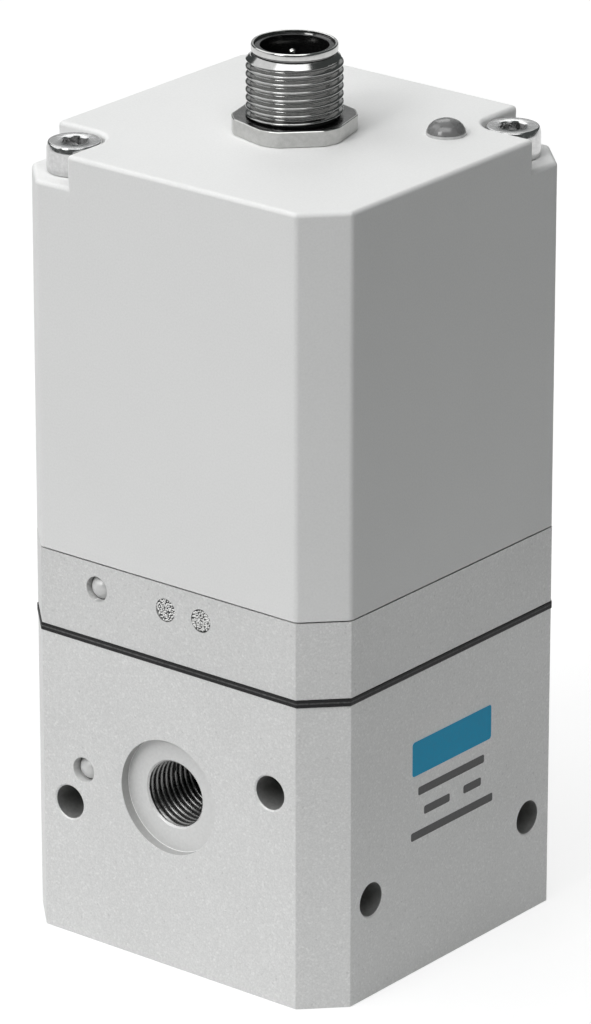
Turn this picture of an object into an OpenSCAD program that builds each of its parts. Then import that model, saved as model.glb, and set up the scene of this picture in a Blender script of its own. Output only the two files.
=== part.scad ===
// Electro-pneumatic pressure regulator.
// A square valve body with two threaded ports, a diaphragm and a pilot plate are clamped
// under a plastic hood by two long cap screws. Two pilot solenoid valves on the plate load the
// diaphragm, which opens a hollow poppet to fill the outlet or lifts off it to vent the outlet.
// Millimetres, +Z up, origin at the middle of the underside, supply port towards -Y.

/* [Block] */
// Width and depth of the square block
block_w = 50; // [48:1:64]
// Leg of the 45 degree cut on each upright corner
corner_cut = 4.8; // [3:0.2:6]
// Radius on the edges of the two metal blocks
metal_edge_r = 0.1; // [0.1:0.1:0.8]

/* [Valve body] */
// Height of the valve body
body_h = 40.3; // [39:0.1:56]
// Diameter of the chamber under the diaphragm
outlet_d = 34; // [32:0.5:35]
// Depth of the chamber under the diaphragm
outlet_depth = 7; // [6:0.5:8]
// Thickness of the metal between the two chambers, seat lip not counted
seat_web = 5.2; // [4:0.2:5.4]
// Diameter of the supply chamber around the poppet
supply_d = 19; // [18:0.5:20]
// Diameter of the throat through the valve seat
throat_d = 9; // [8:0.5:10]
// Height of the seat lip that the poppet closes on
seat_lip_h = 0.8; // [0.5:0.1:1]
// Width of the seat lip
seat_lip_w = 1; // [0.6:0.1:1.4]

/* [Ports] */
// Distance of the port axis below the top of the valve body
port_drop = 17.4; // [17:0.1:18]
// Core diameter of the port thread
port_d = 8.57; // [8:0.01:9]
// Length of the port thread
port_thread_len = 10.5; // [8:0.5:11]
// Diameter of the seat turned round each port
spot_d = 15; // [13:0.5:17]
// Depth of the seat turned round each port
spot_depth = 1.5; // [0.5:0.1:2]
// Outer diameter of the lead-in cone of each port
port_cone_d = 10.6; // [10:0.1:11.5]
// Diameter of the bore from the port to its chamber
flow_d = 6.5; // [5:0.5:8]

/* [Mounting holes] */
// Diameter of the through holes for fixing the regulator
mount_hole_d = 4.4; // [3.4:0.1:4.5]
// Size of the cone that breaks the edge of each mounting hole
mount_hole_break = 0.2; // [0.1:0.05:0.4]
// Distance of the front holes from the side faces
front_hole_inset = 8.9; // [8:0.1:9.5]
// Height of each front hole above or below the port axis
front_hole_dz = 5; // [4.5:0.1:5.2]
// Distance of the side holes from the front and back faces
side_hole_inset = 9; // [8.5:0.1:9.5]
// Distance of the side holes below the port axis
side_hole_drop = 9.9; // [9.8:0.1:11]

/* [Bottom plug] */
// Diameter of the screwed plug that closes the supply chamber
plug_d = 22; // [21:0.5:24]
// Height of the plug below the supply chamber
plug_h = 10.2; // [9.5:0.1:10.5]
// Distance of the plug's face above the underside
plug_recess = 0.3; // [0.1:0.1:0.6]
// Diameter of the stem guide that stands up from the plug
guide_d = 9; // [8.6:0.1:9.4]
// Height of the stem guide
guide_h = 4.5; // [3.5:0.5:5]
// Length of the exhaust thread in the plug
exhaust_thread_len = 7.4; // [6:0.2:7.6]

/* [Poppet and piston] */
// Diameter of the poppet disc
poppet_d = 15; // [14:0.5:16]
// Height of the poppet disc
poppet_h = 5; // [4:0.2:5.4]
// Diameter of the poppet stem
stem_d = 5; // [4.4:0.2:5.4]
// Diameter of the vent bore through the poppet
vent_bore_d = 2.8; // [2:0.1:3.2]
// Depth of the rubber disc let into the poppet
poppet_seal_t = 1.5; // [1:0.1:2]
// Diameter of the rubber disc
poppet_seal_d = 13; // [12.2:0.2:13.4]
// Downward travel of the poppet
poppet_stroke = 1.2; // [0.8:0.1:1.4]
// Upward travel of the piston off the poppet
vent_stroke = 0.8; // [0.5:0.1:1]
// Diameter of the two plates that grip the diaphragm
piston_d = 26; // [22:0.5:26]
// Thickness of the plate under the diaphragm
piston_lower_t = 2; // [1.5:0.1:2.5]
// Thickness of the plate above the diaphragm
piston_upper_t = 1.5; // [1:0.1:1.8]
// Diameter of the piston's stud and its nut's thread
stud_d = 4; // [3:0.5:5]
// Height of the thin nut on the stud
stud_nut_h = 2.2; // [1.8:0.1:2.4]
// Width across the flats of the thin nut
stud_nut_af = 7; // [6.5:0.5:8]

/* [Diaphragm] */
// Thickness of the rubber sheet
diaphragm_t = 0.9; // [0.8:0.1:1.6]
// How far the sheet's edge stands back from the faces of the block
diaphragm_inset = 0.2; // [0.1:0.05:0.5]
// Radius of the rolled ring, to the middle of its wall
convolution_r = 1.5; // [1.2:0.1:1.6]
// Thickness of the rolled ring
convolution_t = 0.8; // [0.5:0.1:0.9]

/* [Pilot plate] */
// Height of the pilot plate
plate_h = 10; // [9.5:0.5:16]
// Distance of the galleries below the top of the pilot plate
gallery_drop = 3.35; // [3.2:0.05:3.4]
// Diameter of the drilled galleries
gallery_d = 2; // [1.6:0.1:2.2]

/* [Ball plugs and vent filters] */
// Diameter of the steel balls that close the drilled galleries
ball_d = 3.3; // [2.6:0.1:3.4]
// Place of the body's ball plug, measured from the middle
body_ball_x = -13.7; // [-14.4:0.1:-13.4]
// Place of the plate's ball plug, measured from the middle
plate_ball_x = -11.2; // [-11.6:0.1:-11]
// Depth of the body's ball below the face
body_ball_depth = 0.3; // [0:0.05:1]
// Depth of the plate's ball below the face
plate_ball_depth = 0; // [0:0.05:1]
// Diameter of the sintered filters
filter_d = 3; // [2.4:0.1:3.4]
// Thickness of the sintered filters
filter_t = 2; // [1:0.1:2.4]
// Place of the hood's breather filter, measured from the middle
breather_x = -0.2; // [-0.5:0.1:0.2]
// Distance of the pilot exhaust filter from the vent valve's axis
pilot_vent_offset = 4.1; // [3.4:0.1:4.2]

/* [Hood] */
// Height of the plastic hood
hood_h = 51.8; // [48:0.1:70]
// Thickness of the hood's side walls
hood_wall = 2.5; // [1.8:0.1:3]
// Thickness of the hood's top
hood_top_t = 3; // [2.4:0.1:4]
// Radius on the hood's upright and top edges
hood_edge_r = 0.7; // [0.3:0.1:1]
// Thickness of the gasket under the hood
gasket_t = 0.2; // [0.2:0.1:0.6]
// How far the gasket stands back from the faces of the block
gasket_inset = 0.5; // [0.2:0.1:0.8]
// Depth of the screw pockets in the hood's top
pocket_depth = 4.1; // [4:0.1:6]
// Radius of the screw pockets round the screws
pocket_r = 3.7; // [3.7:0.05:4.5]
// Thickness of the hood's wall round the screw pockets
pocket_wall = 2.45; // [1.5:0.05:2.6]

/* [Screws] */
// Thread diameter of the cap screws
screw_d = 4; // [3:0.5:4]
// Diameter of a cap screw's head
screw_head_d = 7; // [5.5:0.1:7.2]
// Height of a cap screw's head
screw_head_h = 4; // [3:0.1:4]
// Width across the flats of a cap screw's socket
screw_socket_af = 3; // [2.5:0.5:3.5]
// Distance of the screws from the faces of the block
screw_inset = 6; // [5.6:0.1:6.2]
// Length of thread in the valve body
screw_grip = 8; // [6:0.5:8.4]

/* [Connector] */
// Major diameter of the connector's thread
connector_d = 12; // [11:0.5:12.5]
// Width across the flats of the connector's flange
flange_af = 14; // [13.8:0.1:16]
// Diameter that the corners of the flange are turned to
flange_turned_d = 15.4; // [15:0.1:16]
// Angle that the flange is turned by when it is tightened
flange_turn = 47.5; // [0:0.5:60]
// Thickness of the flange
flange_t = 2; // [1.6:0.1:3]
// Height of the undercut between flange and thread
undercut_h = 0.4; // [0.3:0.1:1]
// Diameter of the undercut
undercut_d = 10.6; // [10.4:0.1:10.8]
// Length of the connector's thread
connector_thread_len = 7.3; // [6:0.1:9]
// Diameter of the plain rim above the thread
rim_d = 10.7; // [10.6:0.1:10.9]
// Height from the thread to the top of the rim
rim_h = 1.5; // [1.2:0.1:2]
// Diameter of the bore through the connector's shell
shell_bore_d = 9.3; // [9:0.1:9.4]
// Inner diameter of the socket
socket_d = 8.4; // [8.2:0.1:8.5]
// Depth of the socket below its rim
socket_depth = 8; // [6:0.5:9]
// Diameter of a contact pin
pin_d = 1; // [0.8:0.1:1.2]
// Radius of the circle that the pins stand on
pin_circle_r = 2.5; // [2.3:0.1:2.7]
// Distance of the pin tips below the rim
pin_sink = 1.6; // [1:0.05:2.5]
// Length of the shank under the hood's top
shank_len = 8; // [7:0.5:9]
// Width across the flats of the lock nut
lock_nut_af = 16; // [15:0.5:17]
// Height of the lock nut
lock_nut_h = 3.2; // [2.5:0.1:3.6]

/* [Status lamp] */
// Diameter of the lamp's lens
lamp_d = 5; // [4:0.5:5]
// Height of the lens above the hood
lamp_dome_h = 1.95; // [1.2:0.05:2.2]
// Distance of the lamp from the side face
lamp_inset_x = 9.6; // [9.6:0.1:11]
// Distance of the lamp from the back face
lamp_inset_y = 14.7; // [14.4:0.1:15.4]

/* [Pilot valves] */
// Width and depth of a pilot valve's base
valve_w = 14; // [13.6:0.2:14.4]
// Height of a pilot valve's base
valve_base_h = 8; // [7.5:0.5:9]
// Height of the coil, flanges counted
coil_h = 18; // [15:0.5:19]
// Thickness of the yoke's sheet
yoke_t = 1.5; // [1.2:0.1:1.8]
// Diameter of the plunger
plunger_d = 5.1; // [4.6:0.1:5.2]
// Travel of the plunger
plunger_stroke = 0.5; // [0.3:0.05:0.55]

/* [Electronics] */
// Thickness of the circuit boards
board_t = 1.6; // [1:0.2:2]
// Height of the upright circuit board
main_board_h = 41; // [40:1:44]
// Distance of the connector's board below the hood's top
connector_board_drop = 15.6; // [15.2:0.2:17]
// Diameter of the pressure sensor's can
sensor_d = 10; // [9:0.5:10.5]
// Height of the pressure sensor's can
sensor_h = 6; // [5:0.5:8]

/* [Hidden] */
$fn = 64;
arc_steps = 3;
edge_steps = 3;
upright_extra = 0.1;
cut = 0.5;
play = 0.05;
run_fit = 0.1;
seat_gap = 0.02;
half = block_w / 2;

// Heights of the stack
plate_z = body_h + diaphragm_t;
plate_top = plate_z + plate_h;
hood_z = plate_top + gasket_t;
hood_top = hood_z + hood_h;
step_z = hood_top - pocket_depth;
ceiling_z = hood_top - hood_top_t;
port_z = body_h - port_drop;
outlet_floor = body_h - outlet_depth;
seat_root_z = outlet_floor - seat_web;
seat_z = seat_root_z - seat_lip_h;
plug_top = plug_recess + plug_h;
gallery_z = plate_top - gallery_drop;

// Screws and pockets
screw_xy = half - screw_inset;
screw_clear = 0.4;
gasket_lip = 0.3;
screw_hole_d = screw_d + screw_clear;
tapped_d = screw_d + play;
screw_tip_z = body_h - screw_grip;
tapped_spare = 0.8;
tapped_end_z = screw_tip_z - tapped_spare;
socket_sink = screw_head_h / 2;
head_seat_d = screw_head_d + screw_clear;
plate_screw_seat = plate_top - screw_head_h - screw_clear;
post_r = pocket_r + pocket_wall;
clamp_corners = [[-1, -1], [1, 1]];
plate_corners = [[1, -1], [-1, 1]];

// Ports, risers and galleries
port_cone_h = (port_cone_d - port_d) / 2;
front_hole_x = half - front_hole_inset;
side_hole_y = half - side_hole_inset;
side_hole_z = port_z - side_hole_drop;
outlet_riser_d = 4.6;
outlet_riser_y = (outlet_d - outlet_riser_d) / 2 - run_fit;
sense_riser_x = (body_ball_x + plate_ball_x) / 2;
sense_riser_inset = 4.5;
sense_riser_y = -(half - sense_riser_inset);
sense_inner_y = -6;
ball_hole_d = ball_d + seat_gap;
ball_hole_len = 4;
filter_hole_d = filter_d + seat_gap;
breather_inset = 1.2;
breather_y = -(half - hood_wall - breather_inset);
breather_d = 1.5;
riser_d = 1.4;
breather_riser_d = 1;

// Poppet, plug and piston
poppet_top = seat_z - seat_gap;
poppet_underside = poppet_top - poppet_h;
poppet_cup_h = poppet_h - poppet_seal_t;
stem_spare = 0.2;
stem_bottom = plug_recess + exhaust_thread_len + poppet_stroke + stem_spare;
guide_top = plug_top + guide_h;
guide_bore_d = stem_d + 2 * play;
stem_ring_r = 0.7;
stem_ring_z = (plug_top + guide_top) / 2;
plug_ring_r = 0.8;
plug_ring_drop = 2.4;
plug_ring_z = plug_top - plug_ring_drop;
groove_share = 2.4;
spanner_hole_d = 2.5;
spanner_hole_depth = 3;
spanner_hole_r = (plug_d + port_cone_d) / 4;
poppet_spring_wire = 1;
poppet_spring_d = (guide_d + poppet_d) / 2;
piston_stem_d = 5;
piston_stem_z = poppet_top + seat_gap;
stud_spare = 0.3;
stud_top = plate_z + piston_upper_t + stud_nut_h + stud_spare;
stud_clear = 0.2;
pilot_depth = stud_top + vent_stroke + stud_clear - plate_z;
convolution_mid_r = (piston_d / 2 + outlet_d / 2) / 2;

// Connector
flange_top = hood_top + flange_t;
thread_z = flange_top + undercut_h;
thread_top = thread_z + connector_thread_len;
rim_top = thread_top + rim_h;
rim_groove_h = 0.5;
rim_groove_sink = 0.2;
rim_groove_d = rim_d - 2 * rim_groove_sink;
thread_lead = (connector_d - rim_groove_d) / 2;
rim_bore_step = 0.3;
rim_bore_d = shell_bore_d + 2 * rim_bore_step;
rim_bore_h = 0.95;
shank_clear = 0.2;
shank_d = connector_d - shank_clear;
shank_bottom = hood_top - shank_len;
shank_hole_d = connector_d + shank_clear;
insert_d = shell_bore_d - play;
insert_sink = 0.3;
insert_top = rim_top - insert_sink;
insert_collar_d = rim_bore_d - play;
insert_collar_z = rim_top - rim_bore_h + seat_gap;
socket_floor = rim_top - socket_depth;
ring_seat_lip = 0.2;
ring_seat_d = flange_af - 2 * ring_seat_lip;
ring_seat_h = 0.8;
connector_ring_r = 0.36;
connector_ring_mid = (shank_d + ring_seat_d) / 4;
pin_angles = [45, 135, 225, 315];
key_angle = 0;
key_w = 1.2;
key_h = 0.7;

// Status lamp
lamp_x = half - lamp_inset_x;
lamp_y = half - lamp_inset_y;
lamp_clear = 0.2;
lamp_hole_d = lamp_d + lamp_clear;
lamp_flange_w = 0.4;
lamp_flange_d = lamp_d + 2 * lamp_flange_w;
lamp_flange_h = 1;
lamp_flange_z = ceiling_z - lamp_flange_h - seat_gap;
lamp_dome_r = (lamp_d * lamp_d / 4 + lamp_dome_h * lamp_dome_h) / (2 * lamp_dome_h);
lamp_lead_d = 0.5;
lamp_lead_x = 1.27;

// Pilot valves, in heights above the pilot plate
valve_clear = 0.85;
valve_front_gap = 2.5;
valve_gap = 0.5;
valve_stagger = 6;
valve_wall = 2;
valve_cavity_d = valve_w - 2 * valve_wall;
valve_floor = 2.5;
valve_port_d = 1.6;
valve_port_wall = 0.7;
valve_channel_h = 1;
winding_clear = 0.2;
supply_valve_x = -(screw_xy - post_r - valve_clear - valve_w / 2);
supply_valve_y = -(half - hood_wall - valve_front_gap - valve_w / 2);
vent_valve_x = supply_valve_x + valve_w + valve_gap;
vent_valve_y = supply_valve_y + valve_stagger;
supply_riser_x = -(port_d / 2 - gallery_d / 2);
supply_in = [supply_riser_x - supply_valve_x, valve_port_d / 2 + valve_port_wall - valve_w / 2];
supply_out = [0, valve_cavity_d / 2 - valve_port_d / 2 - winding_clear];
vent_in = [0, 0];
vent_out = [-pilot_vent_offset, -valve_gap];
pilot_vent_x = vent_valve_x + vent_out.x;
nozzle_d = 2.4;
nozzle_bore_d = 0.8;
nozzle_h = 1.7;
nozzle_top = valve_floor + nozzle_h;
coil_room = valve_w - 2 * yoke_t;
winding_d = coil_room - 2 * winding_clear;
spool_flange_t = 1;
spool_flange_d = coil_room - play;
spool_tube_wall = 0.75;
spool_tube_d = plunger_d + 2 * spool_tube_wall;
spool_bore_d = plunger_d + 2 * run_fit;
spool_z = valve_base_h + yoke_t;
spool_top = spool_z + coil_h;
valve_screw_d = 1.6;
valve_screw_head_d = 2.8;
valve_screw_head_h = 1.2;
valve_screw_inset = [2.8, 1.55];
valve_screw_at = [valve_w / 2 - valve_screw_inset.x, valve_w / 2 - valve_screw_inset.y];
valve_screw_grip = 2.2;
valve_screw_len = valve_base_h + valve_screw_grip;
yoke_w = 2 * valve_screw_at.y - valve_screw_head_d - 2 * play;
tab_w = 6.4;
tab_clear = 0.5;
tab_y = yoke_w / 2 + tab_clear;
tab_len = 2;
tab_h = 2;
plunger_z = nozzle_top + seat_gap;
plunger_top = spool_z + coil_h / 2;
plunger_flange_w = 1;
plunger_flange_d = plunger_d + 2 * plunger_flange_w;
plunger_flange_h = 0.8;
plunger_flange_z = nozzle_top + plunger_flange_h;
plunger_seal_d = 3;
plunger_seal_t = 1;
core_gap = plunger_stroke + run_fit;
core_d = plunger_d + run_fit;
core_shoulder = 0.6;
core_spigot_d = core_d - 2 * core_shoulder;
core_spigot_spare = 0.8;
plunger_spring_wire = 0.4;
plunger_spring_gap = 0.35;
plunger_spring_d = plunger_d + plunger_spring_wire + 2 * plunger_spring_gap;
lead_d = 0.8;
lead_x = [-2, 1];

// Circuit boards
main_board_room = 9.1;
main_board_y = half - hood_wall - main_board_room;
board_clear = 0.3;
main_board_x0 = -(half - hood_wall - board_clear);
post_clear = 1.35;
main_board_x1 = screw_xy - post_r - post_clear;
main_board_z = hood_z;
solder_tail = 0.6;
rail_t = 0.7;
rail_len = 1.2;
rail_h = 30;
connector_board_z = hood_top - connector_board_drop - board_t;
connector_board_reach = 9;
lamp_margin = 2.5;
connector_board_gap = 0.8;
connector_board_x = [-connector_board_reach, lamp_x + lamp_margin];
connector_board_y = [-connector_board_reach, main_board_y - connector_board_gap];
header_x = [-8, 4];
header_size = 2.5;
sensor_x = plate_ball_x;
sensor_gap = 2.4;
sensor_y = main_board_y - sensor_gap - sensor_d / 2;
sensor_nozzle_d = 3.6;
sensor_bore_d = 6;
sensor_bore_depth = 2;
sensor_ring_r = 0.58;
sensor_pin_d = 0.6;
sensor_pin_x = 2;
chip_z = 14;
controller_inset = 5.2;
controller_x = main_board_x0 + controller_inset;
controller_size = [8, 1.3, 8];
driver_inset = [14.5, 6.5];
driver_x = [main_board_x1 - driver_inset[0], main_board_x1 - driver_inset[1]];
driver_size = [6, 2.3, 6];
capacitor_d = 8;
capacitor_h = 6;
capacitor_inset = 8.2;
capacitor_x = main_board_x0 + capacitor_inset;
capacitor_z = 32;

// Shapes that repeat

// Corners of a square of width w whose corners are cut by legs of length c
function cut_square(w, c) = [
    for (q = [0:3]) for (p = [[w / 2 - c, -w / 2], [w / 2, -w / 2 + c]])
        [p.x * cos(90 * q) - p.y * sin(90 * q), p.x * sin(90 * q) + p.y * cos(90 * q)]
];

// The leg of the corner cut once all sides have moved in by r
function inset_cut(c, r) = c - r * (2 - sqrt(2));

// Outline of the block with its sides moved in, its corners rounded by r before they move in
function block_outline(r, inset) = let (core = cut_square(block_w - 2 * r, inset_cut(corner_cut, r))) [
    for (i = [0:7]) for (step = [0:arc_steps]) let (a = -90 + 45 * (i + step / arc_steps))
        core[i] + (r - inset) * [cos(a), sin(a)]
];

// Upright block with cut corners, its upright and top edges rounded, and its lower ones if asked
module rounded_block(h, r, round_bottom) {
    hull() for (step = [0:edge_steps]) let (a = 90 * step / edge_steps, rise = r * (1 - sin(a)))
        translate([0, 0, round_bottom ? rise : 0])
            linear_extrude(h - (round_bottom ? 2 : 1) * rise)
                polygon(block_outline(r + upright_extra, r * (1 - cos(a))));
}

// Upright prism with cut corners whose sides stand back from the block's faces
module inset_prism(inset, h) {
    linear_extrude(h) polygon(cut_square(block_w - 2 * inset, inset_cut(corner_cut, inset)));
}

module at_corners(corners) {
    for (s = corners) translate([s.x * screw_xy, s.y * screw_xy, 0]) children();
}

// Puts something on the front or back face with its +Z pointing into the block
module into_front(x, z) { translate([x, -half, z]) rotate([-90, 0, 0]) children(); }
module into_back(x, z) { translate([x, half, z]) rotate([90, 0, 0]) children(); }

module hexagon(af, h) { cylinder(h, d = af / cos(30), $fn = 6); }

module tube(od, id, h) {
    difference() {
        cylinder(h, d = od);
        translate([0, 0, -cut]) cylinder(h + 2 * cut, d = id);
    }
}

module ring(mid_r, r) { rotate_extrude() translate([mid_r, 0]) circle(r); }

// A through hole along Z of length l, its middle at the origin and both mouths broken by a cone
module broken_hole(d, l) {
    cylinder(l + 2 * cut, d = d, center = true);
    for (s = [0, 1]) mirror([0, 0, s]) translate([0, 0, l / 2 - mount_hole_break])
        cylinder(2 * mount_hole_break, d1 = d, d2 = d + 4 * mount_hole_break);
}

// A threaded port with its turned seat and lead-in cone, then a plain bore to the depth reach
module port_cut(reach) {
    translate([0, 0, -cut]) cylinder(spot_depth + cut, d = spot_d);
    translate([0, 0, spot_depth]) cylinder(port_cone_h, d1 = port_cone_d, d2 = port_d);
    cylinder(spot_depth + port_thread_len, d = port_d);
    cylinder(reach, d = flow_d);
}

// Socket head cap screw: seat of the head at the origin, shank of length l below it
module cap_screw(l) {
    difference() {
        union() {
            cylinder(screw_head_h, d = screw_head_d);
            translate([0, 0, -l]) cylinder(l + cut, d = screw_d);
        }
        translate([0, 0, screw_head_h - socket_sink]) hexagon(screw_socket_af, socket_sink + cut);
    }
}

// Compression spring from z = 0 to z = h
function spring_point(mid_d, wire, h, turns, t, b) = let (a = 360 * turns * t)
    [
        (mid_d / 2 + wire / 2 * cos(b)) * cos(a),
        (mid_d / 2 + wire / 2 * cos(b)) * sin(a),
        wire / 2 + (h - wire) * t + wire / 2 * sin(b)
    ];
module spring(mid_d, wire, h, turns, steps = 16, sides = 6) {
    n = turns * steps;
    polyhedron(
        points = [for (i = [0:n]) for (k = [0:sides - 1])
            spring_point(mid_d, wire, h, turns, i / n, 360 * k / sides)],
        faces = concat(
            [[for (k = [0:sides - 1]) k]],
            [[for (k = [sides - 1:-1:0]) n * sides + k]],
            [for (i = [0:n - 1]) for (k = [0:sides - 1]) let (j = (k + 1) % sides)
                [i * sides + k, (i + 1) * sides + k, (i + 1) * sides + j, i * sides + j]]
        )
    );
}

// Valve body and its closing plug

module valve_body() {
    color("silver") difference() {
        rounded_block(body_h, metal_edge_r, true);
        into_front(0, port_z) port_cut(half - supply_d / 4);
        into_back(0, port_z) port_cut(half - outlet_riser_y);
        mounting_holes();
        supply_side_cut();
        translate([0, 0, outlet_floor]) cylinder(outlet_depth + cut, d = outlet_d);
        translate([0, outlet_riser_y, port_z]) cylinder(outlet_floor - port_z + cut, d = outlet_riser_d);
        sense_gallery_cut();
        translate([supply_valve_x + supply_in.x, supply_valve_y + supply_in.y, port_z])
            cylinder(port_drop + cut, d = gallery_d);
        translate([0, 0, tapped_end_z]) at_corners(concat(clamp_corners, plate_corners))
            cylinder(body_h - tapped_end_z + cut, d = tapped_d);
    }
}

module mounting_holes() {
    for (s = [-1, 1]) {
        translate([s * front_hole_x, 0, port_z + s * front_hole_dz]) rotate([90, 0, 0])
            broken_hole(mount_hole_d, block_w);
        translate([0, s * side_hole_y, side_hole_z]) rotate([0, 90, 0])
            broken_hole(mount_hole_d, block_w);
    }
}

// Plug thread, supply chamber with the seat lip left standing, and throat
module supply_side_cut() {
    translate([0, 0, -cut]) cylinder(plug_top + cut, d = plug_d + play);
    difference() {
        cylinder(seat_root_z, d = supply_d);
        translate([0, 0, seat_z]) tube(throat_d + 2 * seat_lip_w, throat_d, seat_lip_h + cut);
    }
    translate([0, 0, seat_z]) cylinder(body_h - seat_z, d = throat_d);
}

// Gallery behind the ball plug, with a riser to the outlet chamber and one to the pilot plate
module sense_gallery_cut() {
    into_front(body_ball_x, port_z) {
        translate([0, 0, -cut]) cylinder(ball_hole_len + cut, d = ball_hole_d);
        cylinder(half + sense_inner_y + gallery_d / 2, d = gallery_d);
    }
    for (y = [sense_riser_y, sense_inner_y]) translate([sense_riser_x, y, port_z])
        cylinder(port_drop + cut, d = gallery_d);
}

module bottom_plug() {
    color("silver") difference() {
        translate([0, 0, plug_recess]) {
            cylinder(plug_h, d = plug_d);
            cylinder(plug_h + guide_h, d = guide_d);
        }
        translate([0, 0, plug_recess - cut]) cylinder(exhaust_thread_len + cut, d = port_d);
        cylinder(guide_top + cut, d = guide_bore_d);
        translate([0, 0, stem_ring_z])
            tube_groove(guide_bore_d, guide_bore_d + 4 * stem_ring_r + play, groove_share * stem_ring_r);
        translate([0, 0, plug_ring_z])
            tube_groove(plug_d - 4 * plug_ring_r - play, plug_d + cut, groove_share * plug_ring_r);
        for (s = [-1, 1]) translate([s * spanner_hole_r, 0, plug_recess - cut])
            cylinder(spanner_hole_depth + cut, d = spanner_hole_d);
    }
}

// Ring-shaped cut of height h, its middle at the origin
module tube_groove(id, od, h) {
    translate([0, 0, -h / 2]) difference() {
        cylinder(h, d = od);
        translate([0, 0, -cut]) cylinder(h + 2 * cut, d = id);
    }
}

module plug_o_ring() {
    color("black") translate([0, 0, plug_ring_z]) ring(plug_d / 2 - plug_ring_r, plug_ring_r - seat_gap);
}

module stem_o_ring() {
    color("black") translate([0, 0, stem_ring_z])
        ring(guide_bore_d / 2 + stem_ring_r, stem_ring_r - seat_gap);
}

// Poppet, which hangs under the seat on its spring

module poppet() {
    color("goldenrod") difference() {
        union() {
            translate([0, 0, poppet_underside]) cylinder(poppet_h, d = poppet_d);
            translate([0, 0, stem_bottom]) cylinder(poppet_underside - stem_bottom + cut, d = stem_d);
        }
        translate([0, 0, stem_bottom - cut]) cylinder(poppet_top, d = vent_bore_d);
        translate([0, 0, poppet_underside + poppet_cup_h]) cylinder(poppet_h, d = poppet_seal_d + play);
    }
}

module poppet_seal() {
    color("black") translate([0, 0, poppet_underside + poppet_cup_h])
        tube(poppet_seal_d, vent_bore_d, poppet_seal_t);
}

module poppet_spring() {
    color("gainsboro") translate([0, 0, plug_top])
        spring(poppet_spring_d, poppet_spring_wire, poppet_underside - plug_top, turns = 5);
}

// Piston, gripped on the diaphragm between its own plate and a washer

module piston() {
    color("goldenrod") {
        translate([0, 0, body_h - piston_lower_t]) cylinder(piston_lower_t, d = piston_d);
        translate([0, 0, piston_stem_z]) cylinder(body_h - piston_stem_z - cut, d = piston_stem_d);
        translate([0, 0, body_h - cut]) cylinder(stud_top - body_h + cut, d = stud_d);
    }
}

module piston_washer() {
    color("silver") translate([0, 0, plate_z]) tube(piston_d, stud_d + play, piston_upper_t);
}

module piston_nut() {
    color("gainsboro") translate([0, 0, plate_z + piston_upper_t]) difference() {
        hexagon(stud_nut_af, stud_nut_h);
        translate([0, 0, -cut]) cylinder(stud_nut_h + 2 * cut, d = stud_d + play);
    }
}

// Rubber sheet whose rim shows between the metal blocks, with a rolled ring round the piston
module diaphragm() {
    color([0.12, 0.12, 0.12]) translate([0, 0, body_h]) {
        difference() {
            inset_prism(diaphragm_inset, diaphragm_t);
            at_corners(concat(clamp_corners, plate_corners))
                translate([0, 0, -cut]) cylinder(diaphragm_t + 2 * cut, d = screw_hole_d);
            translate([0, 0, -cut]) {
                tube(
                    2 * (convolution_mid_r + convolution_r), 2 * (convolution_mid_r - convolution_r),
                    diaphragm_t + 2 * cut
                );
                cylinder(diaphragm_t + 2 * cut, d = stud_d + play);
                translate([sense_riser_x, sense_riser_y, 0]) cylinder(diaphragm_t + 2 * cut, d = gallery_d);
                translate([supply_valve_x + supply_in.x, supply_valve_y + supply_in.y, 0])
                    cylinder(diaphragm_t + 2 * cut, d = gallery_d);
            }
        }
        rotate_extrude() translate([convolution_mid_r, 0]) intersection() {
            difference() {
                circle(convolution_r + convolution_t / 2);
                circle(convolution_r - convolution_t / 2);
            }
            translate([-2 * convolution_r, 0]) square([4 * convolution_r, 4 * convolution_r]);
        }
    }
}

// Pilot plate with its galleries, plugs and filters

module pilot_plate() {
    color("silver") difference() {
        translate([0, 0, plate_z]) rounded_block(plate_h, metal_edge_r, true);
        translate([0, 0, plate_z - cut]) cylinder(pilot_depth + cut, d = outlet_d);
        translate([0, 0, plate_z - cut]) at_corners(concat(clamp_corners, plate_corners))
            cylinder(plate_h + 2 * cut, d = screw_hole_d);
        translate([0, 0, plate_screw_seat]) at_corners(plate_corners) cylinder(plate_h, d = head_seat_d);
        sense_passage_cut();
        filter_passages_cut();
        valve_ports_cut();
    }
}

// From the body's riser along the ball-plugged gallery to the pressure sensor
module sense_passage_cut() {
    into_front(plate_ball_x, gallery_z) {
        translate([0, 0, -cut]) cylinder(ball_hole_len + cut, d = ball_hole_d);
        cylinder(half + sensor_y + gallery_d / 2, d = gallery_d);
    }
    translate([sense_riser_x, sense_riser_y, plate_z - cut])
        cylinder(gallery_z - plate_z + cut, d = gallery_d);
    translate([sensor_x, sensor_y, gallery_z]) cylinder(gallery_drop, d = riser_d);
    translate([sensor_x, sensor_y, plate_top - sensor_bore_depth])
        cylinder(sensor_bore_depth + cut, d = sensor_bore_d);
}

// The breather opens into the hood, and the other filter silences the vent valve
module filter_passages_cut() {
    for (x = [breather_x, pilot_vent_x]) into_front(x, gallery_z)
        translate([0, 0, -cut]) cylinder(filter_t + cut, d = filter_hole_d);
    into_front(breather_x, gallery_z) cylinder(half + breather_y + breather_d / 2, d = breather_d);
    translate([breather_x, breather_y, gallery_z]) cylinder(gallery_drop + cut, d = breather_riser_d);
    into_front(pilot_vent_x, gallery_z)
        cylinder(half + vent_valve_y + vent_out.y + gallery_d / 2, d = gallery_d);
    translate([pilot_vent_x, vent_valve_y + vent_out.y, gallery_z])
        cylinder(gallery_drop + cut, d = valve_port_d);
}

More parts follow.
